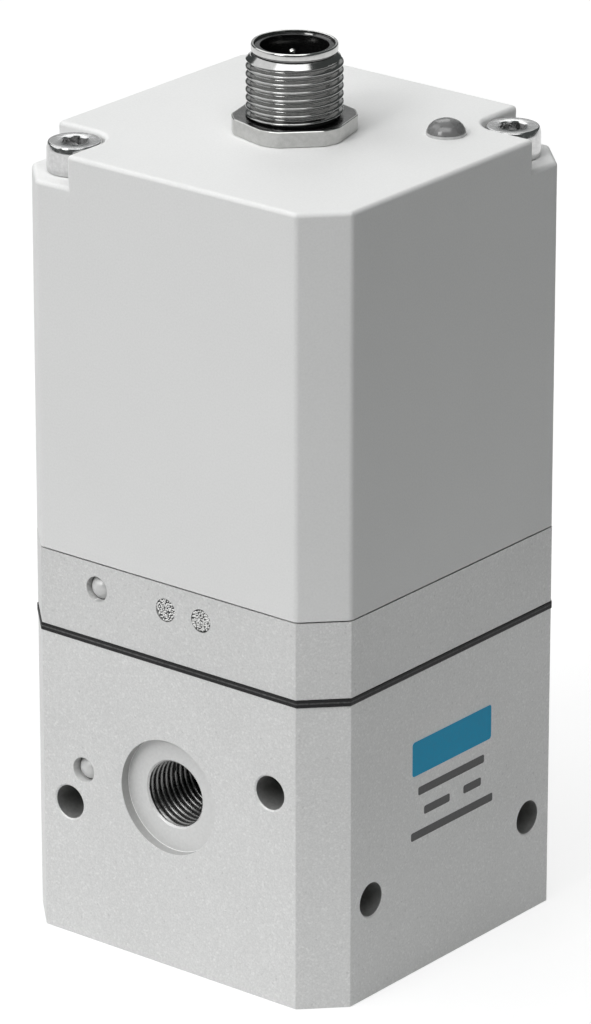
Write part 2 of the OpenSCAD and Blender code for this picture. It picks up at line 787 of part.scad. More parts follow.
// Vertical ways between the pilot valves, the pilot chamber and the supply riser
module valve_ports_cut() {
    translate([supply_valve_x + supply_in.x, supply_valve_y + supply_in.y, plate_z - cut])
        cylinder(plate_h + 2 * cut, d = gallery_d);
    translate([supply_valve_x + supply_out.x, supply_valve_y + supply_out.y, plate_z])
        cylinder(plate_h + cut, d = valve_port_d);
    translate([vent_valve_x + vent_in.x, vent_valve_y + vent_in.y, plate_z])
        cylinder(plate_h + cut, d = valve_port_d);
    translate([0, 0, plate_top - valve_screw_len + valve_base_h - play]) at_valve_screws()
        cylinder(valve_screw_len - valve_base_h + cut, d = valve_screw_d + play);
}

module plate_screws() {
    color("gainsboro") translate([0, 0, plate_screw_seat]) at_corners(plate_corners)
        cap_screw(plate_screw_seat - screw_tip_z);
}

module ball_plugs() {
    color("gainsboro") {
        into_front(body_ball_x, port_z)
            translate([0, 0, body_ball_depth + ball_d / 2]) sphere(d = ball_d);
        into_front(plate_ball_x, gallery_z)
            translate([0, 0, plate_ball_depth + ball_d / 2]) sphere(d = ball_d);
    }
}

module vent_filters() {
    color("darkgray") for (x = [breather_x, pilot_vent_x]) into_front(x, gallery_z)
        cylinder(filter_t, d = filter_d);
}

// Pilot solenoid valve, drawn with its base on z = 0 and the plunger axis at the origin

module at_supply_valve() { translate([supply_valve_x, supply_valve_y, plate_top]) children(); }
module at_vent_valve() { translate([vent_valve_x, vent_valve_y, plate_top]) children(); }

module at_valve_screws() {
    for (v = [[supply_valve_x, supply_valve_y], [vent_valve_x, vent_valve_y]])
        for (s = [1, -1]) translate([v.x + s * valve_screw_at.x, v.y - s * valve_screw_at.y, 0]) children();
}

module valve_base(in_at, out_at) {
    channel_len = norm(in_at);
    color("dimgray") difference() {
        translate([-valve_w / 2, -valve_w / 2, 0]) cube([valve_w, valve_w, valve_base_h]);
        difference() {
            translate([0, 0, valve_floor]) cylinder(valve_base_h, d = valve_cavity_d);
            translate([0, 0, valve_floor - cut]) cylinder(nozzle_h + cut, d = nozzle_d);
        }
        translate([0, 0, -cut]) cylinder(nozzle_top + 2 * cut, d = nozzle_bore_d);
        if (channel_len > 0) rotate([0, 0, atan2(in_at.y, in_at.x)])
            translate([-valve_port_d / 2, -valve_port_d / 2, -cut])
                cube([channel_len + valve_port_d, valve_port_d, valve_channel_h + cut]);
        translate([out_at.x, out_at.y, -cut]) cylinder(valve_floor + 2 * cut, d = valve_port_d);
        for (s = [1, -1]) translate([s * valve_screw_at.x, -s * valve_screw_at.y, -cut])
            cylinder(valve_base_h + 2 * cut, d = valve_screw_d + play);
    }
}

// Steel strap folded round the coil
module valve_yoke() {
    color("lightgray") translate([0, 0, valve_base_h]) difference() {
        translate([-valve_w / 2, -yoke_w / 2, 0]) cube([valve_w, yoke_w, coil_h + 2 * yoke_t]);
        translate([-valve_w / 2 + yoke_t, -yoke_w / 2 - cut, yoke_t])
            cube([valve_w - 2 * yoke_t, yoke_w + 2 * cut, coil_h]);
        translate([0, 0, -cut]) cylinder(yoke_t + 2 * cut, d = spool_bore_d + 2 * run_fit);
        translate([0, 0, yoke_t + coil_h - cut]) cylinder(yoke_t + 2 * cut, d = core_spigot_d + play);
    }
}

module valve_bobbin() {
    color("black") difference() {
        union() {
            for (z = [spool_z, spool_top - spool_flange_t]) translate([0, 0, z])
                cylinder(spool_flange_t, d = spool_flange_d);
            translate([0, 0, spool_z]) cylinder(coil_h, d = spool_tube_d);
            translate([-tab_w / 2, tab_y, spool_top - spool_flange_t]) cube([tab_w, tab_len, tab_h]);
        }
        translate([0, 0, spool_z - cut]) cylinder(coil_h + 2 * cut, d = spool_bore_d);
    }
}

module valve_winding() {
    color("peru") translate([0, 0, spool_z + spool_flange_t])
        tube(winding_d, spool_tube_d, coil_h - 2 * spool_flange_t);
}

module valve_core() {
    core_z = plunger_top + core_gap;
    color("lightgray") translate([0, 0, core_z]) {
        cylinder(spool_top - core_z, d = core_d);
        cylinder(spool_top - core_z + yoke_t + core_spigot_spare, d = core_spigot_d);
    }
}

module valve_plunger() {
    color("lightgray") difference() {
        union() {
            translate([0, 0, plunger_z]) cylinder(plunger_top - plunger_z, d = plunger_d);
            translate([0, 0, plunger_flange_z]) cylinder(plunger_flange_h, d = plunger_flange_d);
        }
        translate([0, 0, plunger_z - cut]) cylinder(plunger_seal_t + cut, d = plunger_seal_d + play);
    }
}

module valve_seal() {
    color("black") translate([0, 0, plunger_z]) cylinder(plunger_seal_t, d = plunger_seal_d);
}

module valve_spring() {
    spring_z = plunger_flange_z + plunger_flange_h;
    color("gainsboro") translate([0, 0, spring_z])
        spring(plunger_spring_d, plunger_spring_wire, valve_base_h - spring_z, turns = 3);
}

module valve_screws() {
    color("gainsboro") translate([0, 0, plate_top + valve_base_h]) at_valve_screws() {
        cylinder(valve_screw_head_h, d = valve_screw_head_d);
        translate([0, 0, -valve_screw_len]) cylinder(valve_screw_len + cut, d = valve_screw_d);
    }
}

// Stiff leads from the coils to the upright board
module coil_leads() {
    color("firebrick") for (v = [[supply_valve_x, supply_valve_y], [vent_valve_x, vent_valve_y]])
        for (x = lead_x) translate([v.x + x, v.y + tab_y + tab_len, plate_top + spool_top])
            rotate([-90, 0, 0]) cylinder(main_board_y - v.y - tab_y - tab_len, d = lead_d);
}

// Electronics

module pressure_sensor() {
    color("lightgray") translate([sensor_x, sensor_y, plate_top]) {
        cylinder(sensor_h, d = sensor_d);
        translate([0, 0, -sensor_bore_depth + play]) cylinder(sensor_bore_depth, d = sensor_nozzle_d);
        for (x = [-sensor_pin_x, sensor_pin_x]) for (z = [sensor_h / 3, sensor_h * 2 / 3])
            translate([x, 0, z]) rotate([-90, 0, 0]) cylinder(main_board_y - sensor_y, d = sensor_pin_d);
    }
}

module sensor_o_ring() {
    color("black") translate([sensor_x, sensor_y, plate_top - sensor_bore_depth / 2])
        ring((sensor_nozzle_d + sensor_bore_d) / 4, sensor_ring_r);
}

module main_board() {
    color("seagreen") translate([main_board_x0, main_board_y, main_board_z])
        cube([main_board_x1 - main_board_x0, board_t, main_board_h]);
}

// A chip on the board's front, at x and at a height above the board's foot
module chip(x, z, size) {
    translate([x, main_board_y - size.y, main_board_z + z]) cube(size);
}

module controller_chip() { color("black") chip(controller_x, chip_z, controller_size); }

module driver_chips() { color("black") for (x = driver_x) chip(x, chip_z, driver_size); }

module capacitor() {
    color("midnightblue") translate([capacitor_x, main_board_y + board_t, main_board_z + capacitor_z])
        rotate([-90, 0, 0]) cylinder(capacitor_h, d = capacitor_d);
}

module connector_board() {
    color("seagreen") difference() {
        translate([connector_board_x[0], connector_board_y[0], connector_board_z])
            cube([
                connector_board_x[1] - connector_board_x[0], connector_board_y[1] - connector_board_y[0],
                board_t
            ]);
        translate([0, 0, connector_board_z - cut]) {
            for (a = pin_angles) rotate([0, 0, a]) translate([pin_circle_r, 0, 0])
                cylinder(board_t + 2 * cut, d = pin_d + play);
            for (s = [-1, 1]) translate([lamp_x + s * lamp_lead_x, lamp_y, 0])
                cylinder(board_t + 2 * cut, d = lamp_lead_d + play);
        }
    }
}

// Strip that joins the connector's board to the upright one
module board_header() {
    color("black") translate([header_x[0], main_board_y - header_size, connector_board_z - header_size])
        cube([header_x[1] - header_x[0], header_size, header_size]);
}

// Hood and what is fixed to it

module hood_gasket() {
    color([0.12, 0.12, 0.12]) translate([0, 0, plate_top]) difference() {
        inset_prism(gasket_inset, gasket_t);
        translate([0, 0, -cut]) inset_prism(hood_wall - gasket_lip, gasket_t + 2 * cut);
    }
}

module hood() {
    color("gainsboro") difference() {
        translate([0, 0, hood_z]) rounded_block(hood_h, hood_edge_r, false);
        hood_cavity();
        at_corners(clamp_corners) translate([0, 0, hood_z - cut]) cylinder(hood_h, d = screw_hole_d);
        for (s = clamp_corners) scale_sign(s) translate([0, 0, step_z]) linear_extrude(pocket_depth + cut)
            pocket_outline(pocket_r);
        cylinder(hood_top + cut, d = shank_hole_d);
        translate([0, 0, hood_top - ring_seat_h]) cylinder(ring_seat_h + cut, d = ring_seat_d);
        translate([lamp_x, lamp_y, ceiling_z - cut]) cylinder(hood_top_t + 2 * cut, d = lamp_hole_d);
    }
}

// Turns the shape drawn in the +X +Y corner to the corner with the signs s
module scale_sign(s) { rotate([0, 0, s.x < 0 ? 180 : 0]) children(); }

// Corner of the block out from a rounded wall at distance r from the screw
module pocket_outline(r) {
    translate([screw_xy, screw_xy]) {
        circle(r);
        translate([-r, 0]) square([2 * half, half]);
        translate([0, -r]) square([half, 2 * half]);
    }
}

// Inside of the hood, with a post left standing round each clamp screw and rails for the board
module hood_cavity() {
    difference() {
        translate([0, 0, hood_z - cut]) inset_prism(hood_wall, hood_h - hood_top_t + cut);
        for (s = clamp_corners) scale_sign(s) translate([0, 0, hood_z - 2 * cut])
            linear_extrude(hood_h) pocket_outline(post_r);
        for (y = [main_board_y - play - rail_t, main_board_y + board_t + play])
            translate([-half, y, ceiling_z - rail_h]) cube([hood_wall + rail_len, rail_t, rail_h + cut]);
    }
}

module hood_screws() {
    color("gainsboro") translate([0, 0, step_z]) at_corners(clamp_corners) cap_screw(step_z - screw_tip_z);
}

// Panel connector: hexagon flange on the hood, threaded barrel above, shank and nut below

module connector_shell() {
    color("silver") difference() {
        union() {
            translate([0, 0, hood_top]) rotate([0, 0, flange_turn]) intersection() {
                hexagon(flange_af, flange_t);
                cylinder(flange_t, d = flange_turned_d);
            }
            translate([0, 0, shank_bottom]) cylinder(shank_len + cut, d = shank_d);
            translate([0, 0, hood_top]) cylinder(rim_top - hood_top, d = rim_groove_d);
            translate([0, 0, thread_z]) cylinder(connector_thread_len - thread_lead, d = connector_d);
            translate([0, 0, thread_top - thread_lead])
                cylinder(thread_lead, d1 = connector_d, d2 = rim_groove_d);
            translate([0, 0, hood_top]) cylinder(thread_z - hood_top + cut, d = undercut_d);
            translate([0, 0, thread_top + rim_groove_h]) cylinder(rim_h - rim_groove_h, d = rim_d);
        }
        translate([0, 0, shank_bottom - cut]) cylinder(rim_top - shank_bottom + 2 * cut, d = shell_bore_d);
        translate([0, 0, rim_top - rim_bore_h]) cylinder(rim_bore_h + cut, d = rim_bore_d);
    }
}

// Insulator: a cup with a collar in the rim, whose floor carries the pins, with a coding key inside
module connector_insert() {
    color([0.08, 0.08, 0.08]) difference() {
        union() {
            translate([0, 0, shank_bottom]) cylinder(insert_top - shank_bottom, d = insert_d);
            translate([0, 0, insert_collar_z]) cylinder(insert_top - insert_collar_z, d = insert_collar_d);
        }
        difference() {
            translate([0, 0, socket_floor]) cylinder(insert_top, d = socket_d);
            rotate([0, 0, key_angle]) translate([socket_d / 2 - key_h, -key_w / 2, socket_floor - cut])
                cube([key_h + cut, key_w, insert_top - socket_floor - pin_sink]);
        }
        for (a = pin_angles) rotate([0, 0, a]) translate([pin_circle_r, 0, shank_bottom - cut])
            cylinder(socket_floor - shank_bottom + 2 * cut, d = pin_d + play);
    }
}

module connector_pins() {
    pin_bottom = connector_board_z - solder_tail;
    pin_top = rim_top - pin_sink;
    tip_h = pin_d / 3;
    color("gainsboro") for (a = pin_angles) rotate([0, 0, a]) translate([pin_circle_r, 0, 0])
        rotate_extrude() polygon([
            [0, pin_bottom], [pin_d / 2, pin_bottom], [pin_d / 2, pin_top - tip_h], [pin_d / 4, pin_top],
            [0, pin_top]
        ]);
}

module connector_o_ring() {
    color("black") translate([0, 0, hood_top - ring_seat_h / 2]) ring(connector_ring_mid, connector_ring_r);
}

module connector_nut() {
    color("silver") translate([0, 0, ceiling_z - lock_nut_h]) difference() {
        hexagon(lock_nut_af, lock_nut_h);
        translate([0, 0, -cut]) cylinder(lock_nut_h + 2 * cut, d = shank_d + play);
    }
}

// Lamp with a domed lens through the hood and its leads on the connector's board
module status_lamp() {
    color("dimgray") translate([lamp_x, lamp_y, 0]) {
        translate([0, 0, lamp_flange_z]) cylinder(lamp_flange_h, d = lamp_flange_d);
        translate([0, 0, lamp_flange_z]) cylinder(hood_top - lamp_flange_z, d = lamp_d);
        intersection() {
            translate([0, 0, hood_top + lamp_dome_h - lamp_dome_r]) sphere(lamp_dome_r);
            translate([0, 0, hood_top - seat_gap]) cylinder(2 * lamp_dome_h, d = lamp_d);
        }
        for (s = [-1, 1]) translate([s * lamp_lead_x, 0, connector_board_z - solder_tail])
            cylinder(lamp_flange_z - connector_board_z + solder_tail + play, d = lamp_lead_d);
    }
}

valve_body();
bottom_plug();
plug_o_ring();
stem_o_ring();
poppet();
poppet_seal();
poppet_spring();
piston();
piston_washer();
piston_nut();
diaphragm();
pilot_plate();
plate_screws();
ball_plugs();
vent_filters();
at_supply_valve() valve_base(supply_in, supply_out);  // supply_valve_base
at_supply_valve() valve_yoke();  // supply_valve_yoke
at_supply_valve() valve_bobbin();  // supply_valve_bobbin
at_supply_valve() valve_winding();  // supply_valve_winding
at_supply_valve() valve_core();  // supply_valve_core
at_supply_valve() valve_plunger();  // supply_valve_plunger
at_supply_valve() valve_seal();  // supply_valve_seal
at_supply_valve() valve_spring();  // supply_valve_spring
at_vent_valve() valve_base(vent_in, vent_out);  // vent_valve_base
at_vent_valve() valve_yoke();  // vent_valve_yoke
at_vent_valve() valve_bobbin();  // vent_valve_bobbin
at_vent_valve() valve_winding();  // vent_valve_winding
at_vent_valve() valve_core();  // vent_valve_core
at_vent_valve() valve_plunger();  // vent_valve_plunger
at_vent_valve() valve_seal();  // vent_valve_seal
at_vent_valve() valve_spring();  // vent_valve_spring
valve_screws();
coil_leads();
pressure_sensor();
sensor_o_ring();
main_board();
controller_chip();
driver_chips();
capacitor();
connector_board();
board_header();
hood_gasket();
hood();
hood_screws();
connector_shell();
connector_insert();
connector_pins();
connector_o_ring();
connector_nut();
status_lamp();
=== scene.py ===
from functools import partial
from math import copysign, cos, hypot, pi, radians, sin, sqrt

import bmesh
import bpy
from mathutils import Matrix, Vector


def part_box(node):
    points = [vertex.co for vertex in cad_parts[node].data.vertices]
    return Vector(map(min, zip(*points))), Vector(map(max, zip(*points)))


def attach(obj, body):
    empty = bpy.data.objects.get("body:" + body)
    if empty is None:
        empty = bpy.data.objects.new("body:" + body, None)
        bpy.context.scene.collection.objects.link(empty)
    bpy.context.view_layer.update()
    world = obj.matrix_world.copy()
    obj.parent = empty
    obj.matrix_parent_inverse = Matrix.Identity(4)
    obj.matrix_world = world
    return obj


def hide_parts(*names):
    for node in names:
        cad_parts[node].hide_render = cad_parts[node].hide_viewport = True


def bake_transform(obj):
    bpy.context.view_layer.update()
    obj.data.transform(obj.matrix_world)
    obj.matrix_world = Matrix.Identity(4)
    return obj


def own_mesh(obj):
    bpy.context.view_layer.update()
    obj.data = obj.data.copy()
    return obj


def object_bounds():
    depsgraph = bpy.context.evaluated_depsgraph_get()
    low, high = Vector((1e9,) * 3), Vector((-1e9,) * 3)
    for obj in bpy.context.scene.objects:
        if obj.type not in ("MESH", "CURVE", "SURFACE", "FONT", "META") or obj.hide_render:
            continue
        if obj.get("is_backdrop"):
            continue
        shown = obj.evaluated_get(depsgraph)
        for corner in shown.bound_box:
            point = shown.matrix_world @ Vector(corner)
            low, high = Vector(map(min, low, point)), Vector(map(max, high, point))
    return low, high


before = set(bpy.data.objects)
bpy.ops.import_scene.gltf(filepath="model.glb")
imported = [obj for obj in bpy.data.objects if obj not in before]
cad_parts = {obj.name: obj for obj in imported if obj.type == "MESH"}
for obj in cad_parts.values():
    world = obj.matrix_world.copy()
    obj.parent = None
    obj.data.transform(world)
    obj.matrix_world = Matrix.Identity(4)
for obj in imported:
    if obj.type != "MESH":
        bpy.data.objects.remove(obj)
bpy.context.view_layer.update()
scene = bpy.context.scene
MM = 0.001
SAME_POINT = 0.000002
SHARP_EDGE = radians(40.0)
SMOOTH_UP_TO = radians(38.0)


# Valve body
# A block of aluminium, milled square with cut corners, bored for the ports and chambers, then blasted and
# clear anodised. The ports are turned and tapped after that, so they are smoother than the faces.

def feed(tree, socket, value):
    """Joins a socket to another, or sets it to a value."""
    if isinstance(value, bpy.types.NodeSocket):
        tree.links.new(value, socket)
    else:
        socket.default_value = value


def add(tree, kind, settings=None, **inputs):
    """A node with its settings, and its inputs set to values or joined to sockets."""
    node = tree.nodes.new(kind)
    for key, value in (settings or {}).items():
        setattr(node, key, value)
    for key, value in inputs.items():
        feed(tree, next(s for s in node.inputs if s.enabled and s.name.replace(" ", "_") == key), value)
    return node


def calc(tree, operation, *values):
    """The result of one sum on numbers or sockets."""
    node = tree.nodes.new("ShaderNodeMath")
    node.operation = operation
    for socket, value in zip(node.inputs, values):
        feed(tree, socket, value)
    return node.outputs[0]


def object_place(tree):
    return add(tree, "ShaderNodeTexCoord").outputs["Object"]


def surface_of(material):
    """The inputs of a finish's main shader."""
    return material.node_tree.nodes["Principled BSDF"].inputs


def finish(name, dark, light, roughness, grain, relief, metallic=0.0, gloss_spread=0.06):
    """A finish whose colour, gloss and relief vary together in grains of the given size in metres. A grey
    may be one number."""
    material = bpy.data.materials.new(name)
    material.use_nodes = True
    tree = material.node_tree
    surface = surface_of(material)
    surface["Metallic"].default_value = metallic
    place = object_place(tree)
    fine = add(tree, "ShaderNodeTexNoise", Vector=place, Scale=1 / grain, Detail=2.0).outputs["Fac"]
    broad = add(tree, "ShaderNodeTexNoise", Vector=place, Scale=45.0, Detail=3.0).outputs["Fac"]
    blend = calc(tree, "MULTIPLY_ADD", broad, 0.3, calc(tree, "MULTIPLY", fine, 0.7))
    ramp = add(tree, "ShaderNodeValToRGB", Fac=blend)
    for stop, where, colour in zip(ramp.color_ramp.elements, (0.35, 0.65), (dark, light)):
        stop.position = where
        stop.color = (*(colour if isinstance(colour, tuple) else [colour] * 3), 1.0)
    tree.links.new(ramp.outputs["Color"], surface["Base Color"])
    gloss = add(tree, "ShaderNodeMapRange", Value=fine, From_Min=0.3, From_Max=0.7,
                To_Min=roughness - gloss_spread, To_Max=roughness + gloss_spread)
    tree.links.new(gloss.outputs["Result"], surface["Roughness"])
    bump = add(tree, "ShaderNodeBump", Height=fine, Distance=relief)
    tree.links.new(bump.outputs["Normal"], surface["Normal"])
    return material


def painted_glints_and_pits(material, size=0.00026, amount=0.08):
    """Adds painted glints for the single facets that blasting leaves, and painted shade in its few pits."""
    tree = material.node_tree
    surface = surface_of(material)
    place = object_place(tree)
    cells = add(tree, "ShaderNodeTexVoronoi", Vector=place, Scale=1 / size)
    chance = add(tree, "ShaderNodeSeparateColor", Color=cells.outputs["Color"]).outputs[0]
    painted_glint = add(tree, "ShaderNodeMapRange", Value=chance, From_Min=0.8, From_Max=1.0, To_Max=amount)
    painted_pit_shade = add(tree, "ShaderNodeMapRange", Value=chance, From_Min=0.015, From_Max=0.0, To_Max=amount)
    change = calc(tree, "SUBTRACT", painted_glint.outputs["Result"], painted_pit_shade.outputs["Result"])
    colour = surface["Base Color"].links[0].from_socket
    lit = add(tree, "ShaderNodeMix", {"data_type": "RGBA", "blend_type": "ADD"}, Factor=1.0, A=colour,
              B=change)
    tree.links.new(lit.outputs[2], surface["Base Color"])
    return material


def ringed(material, axis_point=(0, 0, 0), across=(1, 1, 0), spacing=0.0002, depth=0.000002):
    """Adds the fine rings that a turning tool leaves about an axis."""
    tree = material.node_tree
    surface = surface_of(material)
    place = object_place(tree)
    off = add(tree, "ShaderNodeMapping", Vector=place, Location=[-c for c in axis_point])
    flat = add(tree, "ShaderNodeVectorMath", {"operation": "MULTIPLY"}, Vector=off.outputs["Vector"])
    flat.inputs[1].default_value = across
    radius = add(tree, "ShaderNodeVectorMath", {"operation": "LENGTH"}, Vector=flat.outputs["Vector"])
    ripple = calc(tree, "SINE", calc(tree, "MULTIPLY", radius.outputs["Value"], 2 * pi / spacing))
    bump = add(tree, "ShaderNodeBump", Height=ripple, Distance=depth)
    tree.links.new(surface["Normal"].links[0].from_socket, bump.inputs["Normal"])
    tree.links.new(bump.outputs["Normal"], surface["Normal"])
    return material


def new_tree(name, sizes):
    """A Geometry Nodes tree with named inputs, with its input and output sockets."""
    tree = bpy.data.node_groups.new(name, "GeometryNodeTree")
    tree.interface.new_socket("Geometry", in_out="OUTPUT", socket_type="NodeSocketGeometry")
    tree.interface.new_socket("Geometry", in_out="INPUT", socket_type="NodeSocketGeometry")
    for label, kind in sizes:
        tree.interface.new_socket(label, in_out="INPUT", socket_type="NodeSocket" + kind)
    return tree, add(tree, "NodeGroupInput").outputs, add(tree, "NodeGroupOutput").inputs


def close_tree(tree, shape, coating, outlet):
    """The end of every tree: real geometry with its finish."""
    real = add(tree, "GeometryNodeRealizeInstances", Geometry=shape)
    dressed = add(tree, "GeometryNodeSetMaterial", Geometry=real.outputs[0], Material=coating)
    tree.links.new(dressed.outputs[0], outlet["Geometry"])
    return tree


def new_object(name, data):
    thing = bpy.data.objects.new(name, data)
    scene.collection.objects.link(thing)
    return thing


def applied(mesh, kind, settle):
    """The plain mesh that one modifier makes of a mesh, once settle has set it."""
    carrier = new_object("carrier", mesh)
    modifier = carrier.modifiers.new("shape", kind)
    settle(modifier)
    made = bpy.data.meshes.new_from_object(carrier.evaluated_get(bpy.context.evaluated_depsgraph_get()))
    carrier.modifiers.remove(modifier)
    bpy.data.objects.remove(carrier)
    return made


def grown(tree, values, start=None, place=Matrix()):
    """The plain mesh that a tree makes with these values, on a start mesh if it needs one."""
    def settle(modifier):
        modifier.node_group = tree
        for socket in tree.interface.items_tree:
            if socket.in_out == "INPUT" and socket.name in values:
                modifier[socket.identifier] = values[socket.name]
    made = applied(start or bpy.data.meshes.new("carrier"), "NODES", settle)
    made.transform(place)
    return made


def screw_thread_tree():
    """A screw thread along +Z: one strip, a pitch wide, wound round the axis and folded into a ridge."""
    tree, size, outlet = new_tree("screw_thread", [
        ("Length", "Float"), ("Root Radius", "Float"), ("Crest Radius", "Float"), ("Pitch", "Float"),
        ("Sharpness", "Float"), ("Mouth Radius", "Float"), ("Tip Radius", "Float"), ("Run Out", "Float"),
        ("Steps", "Int"), ("Inside", "Bool"), ("Finish", "Material")])
    do = partial(calc, tree)
    turns = do("ADD", do("DIVIDE", size["Length"], size["Pitch"]), 1.0)
    columns = do("ADD", do("ROUND", do("MULTIPLY", turns, size["Steps"])), 1.0)
    strip = add(tree, "GeometryNodeMeshGrid", Size_X=1.0, Size_Y=1.0, Vertices_X=columns, Vertices_Y=17)
    spot = add(tree, "ShaderNodeSeparateXYZ", Vector=add(tree, "GeometryNodeInputPosition").outputs[0])
    wound = do("MULTIPLY", do("ADD", spot.outputs["X"], 0.5), turns)
    across = do("ADD", spot.outputs["Y"], 0.5)
    rise = do("MULTIPLY", do("ADD", wound, do("SUBTRACT", across, 1.0)), size["Pitch"])
    height = do("MINIMUM", do("MAXIMUM", rise, 0.0), size["Length"])
    left = do("SUBTRACT", size["Length"], height)
    peak = do("SUBTRACT", 1.0, do("ABSOLUTE", do("MULTIPLY_ADD", across, 2.0, -1.0)))
    ridge = add(tree, "ShaderNodeMapRange", {"interpolation_type": "SMOOTHSTEP"}, Value=peak, From_Min=0.05,
                From_Max=0.95).outputs["Result"]
    ridge = do("POWER", ridge, size["Sharpness"])
    tall = do("SUBTRACT", size["Crest Radius"], size["Root Radius"])
    radius = do("MULTIPLY_ADD", ridge, tall, size["Root Radius"])
    fade = add(tree, "ShaderNodeMapRange", Value=left, From_Max=size["Run Out"]).outputs["Result"]
    short = do("SUBTRACT", radius, size["Crest Radius"])
    faded = do("MULTIPLY_ADD", short, fade, size["Crest Radius"])
    tipped = do("MINIMUM", faded, do("ADD", size["Tip Radius"], left))
    wall = do("MAXIMUM", tipped, do("SUBTRACT", size["Mouth Radius"], height))
    lead_in = 0.25 * MM
    lip = do("ADD", do("ABSOLUTE", do("SUBTRACT", height, lead_in)),
             do("SUBTRACT", size["Mouth Radius"], lead_in))
    lip = do("ADD", lip, do("SUBTRACT", 1.0, size["Inside"]))
    wall = do("MINIMUM", wall, lip)
    angle = do("MULTIPLY", wound, 2 * pi)
    point = add(tree, "ShaderNodeCombineXYZ", X=do("MULTIPLY", wall, do("COSINE", angle)),
                Y=do("MULTIPLY", wall, do("SINE", angle)), Z=height)
    placed = add(tree, "GeometryNodeSetPosition", Geometry=strip.outputs["Mesh"], Position=point.outputs[0])
    closed = add(tree, "GeometryNodeMergeByDistance", Geometry=placed.outputs[0], Distance=SAME_POINT)
    faced = add(tree, "GeometryNodeFlipFaces", Mesh=closed.outputs[0], Selection=size["Inside"])
    return close_tree(tree, faced.outputs[0], size["Finish"], outlet)


def mesh_of(shape, name):
    """A mesh of what was shaped, which is then let go."""
    mesh = bpy.data.meshes.new(name)
    shape.to_mesh(mesh)
    shape.free()
    return mesh


def anywhere(middle):
    return True


def cad_copy(node, keep=anywhere, softened=0.0, where=anywhere, segments=1, moved=None):
    """A merged copy of a CAD node's mesh without the faces that are remade, its sharp edges softened.
    Points that differ a little from the CAD are moved first."""
    shape = bmesh.new()
    shape.from_mesh(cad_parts[node].data)
    bmesh.ops.remove_doubles(shape, verts=shape.verts, dist=SAME_POINT)
    lost = [f for f in shape.faces if not keep(f.calc_center_median() / MM)]
    bmesh.ops.delete(shape, geom=lost, context="FACES")
    bmesh.ops.dissolve_limit(shape, angle_limit=radians(0.4), verts=shape.verts, edges=shape.edges)
    if moved:
        for vertex in shape.verts:
            vertex.co = moved(vertex.co / MM) * MM
        bmesh.ops.remove_doubles(shape, verts=shape.verts, dist=SAME_POINT)
    if softened:
        edges = [e for e in shape.edges if len(e.link_faces) == 2
                 and e.calc_face_angle(0.0) > SHARP_EDGE
                 and where((e.verts[0].co + e.verts[1].co) / 2 / MM)]
        bmesh.ops.bevel(shape, geom=edges, offset=softened, offset_type="OFFSET", segments=segments,
                        profile=0.5, affect="EDGES", clamp_overlap=True)
    return mesh_of(shape, node + "_copy")


def coated(mesh, *materials, choose=None):
    """Gives a mesh its finishes. With several, choose tells from a face's middle which one it gets."""
    mesh.materials.clear()
    for material in materials:
        mesh.materials.append(material)
    for face in mesh.polygons:
        face.material_index = choose(Vector(face.center) / MM) if choose else 0
    return mesh


def piece(name, meshes, body, slot, *nodes):
    """One piece from its meshes, shaded smooth up to the crease angle, riding on a body. Given a pair of
    bodies with points instead, it rides on none of them and its mesh is set in place."""
    coatings = []
    shape = bmesh.new()
    for mesh in meshes:
        before = len(shape.faces)
        shape.from_mesh(mesh)
        shape.faces.ensure_lookup_table()
        coatings += [m for m in mesh.materials if m not in coatings]
        numbers = [coatings.index(m) for m in mesh.materials]
        for face in shape.faces[before:]:
            face.material_index = numbers[face.material_index]
    whole = mesh_of(shape, name)
    for material in coatings:
        whole.materials.append(material)
    whole.shade_smooth()
    whole.set_sharp_from_angle(angle=SMOOTH_UP_TO)
    thing = new_object(name, whole)
    even = thing.modifiers.new("even_shading", "WEIGHTED_NORMAL")
    even.keep_sharp = True
    if isinstance(body, str):
        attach(thing, body)
    else:
        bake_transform(thing)
    if nodes:
        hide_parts(*nodes)
    return thing


HALF = 25.0
CORNER_CUT = 4.8
PORT_Z = 22.9
PORT_CORE_R = 4.285
PORT_ROOT_R = 4.865
PORT_MOUTH_R = 4.52
PORT_PITCH = 0.907
SPOT_R = 7.5
SPOT_DEPTH = 1.5
SEAT_DEPTH = 1.3
THREAD_END = 12.0
UPRIGHT_R = 0.2
EDGE_R = 0.1
PLUGGED_X = (-15.5, -9.4)
PLUGGED_DEPTH = 4.0
BODY_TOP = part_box("valve_body")[1].z / MM
screw_thread = screw_thread_tree()
blasted = painted_glints_and_pits(finish("blasted_aluminium", (0.645, 0.645, 0.64), (0.76, 0.76, 0.755), 0.58, 0.00022,
                          0.000006, metallic=0.2))
turned = ringed(finish("turned_aluminium", (0.67, 0.67, 0.665), (0.73, 0.73, 0.725), 0.45, 0.0004, 0.000001,
                       metallic=0.2), (0, 0, PORT_Z * MM), (1, 0, 1), 0.00016, 0.0000006)
# The seats' upright walls: the same turned aluminium painted darker, as painted shade where they face away
# from the light.
seat_wall_painted_shade = finish("turned_wall", (0.40, 0.40, 0.395), (0.46, 0.46, 0.455), 0.48, 0.0004, 0.000001,
                   metallic=0.2)
# A pale ring in the seat's inner corner: a painted highlight line.
seat_corner_painted_highlight = finish("turned_corner", (0.86, 0.86, 0.855), (0.92, 0.92, 0.915), 0.35, 0.0004, 0.000001)
# Bores and chambers: aluminium painted darker than the faces, as painted shade inside the holes.
bored_painted_shade = finish("bored_aluminium", (0.27, 0.27, 0.265), (0.34, 0.34, 0.335), 0.45, 0.0004, 0.000002,
               metallic=0.4)
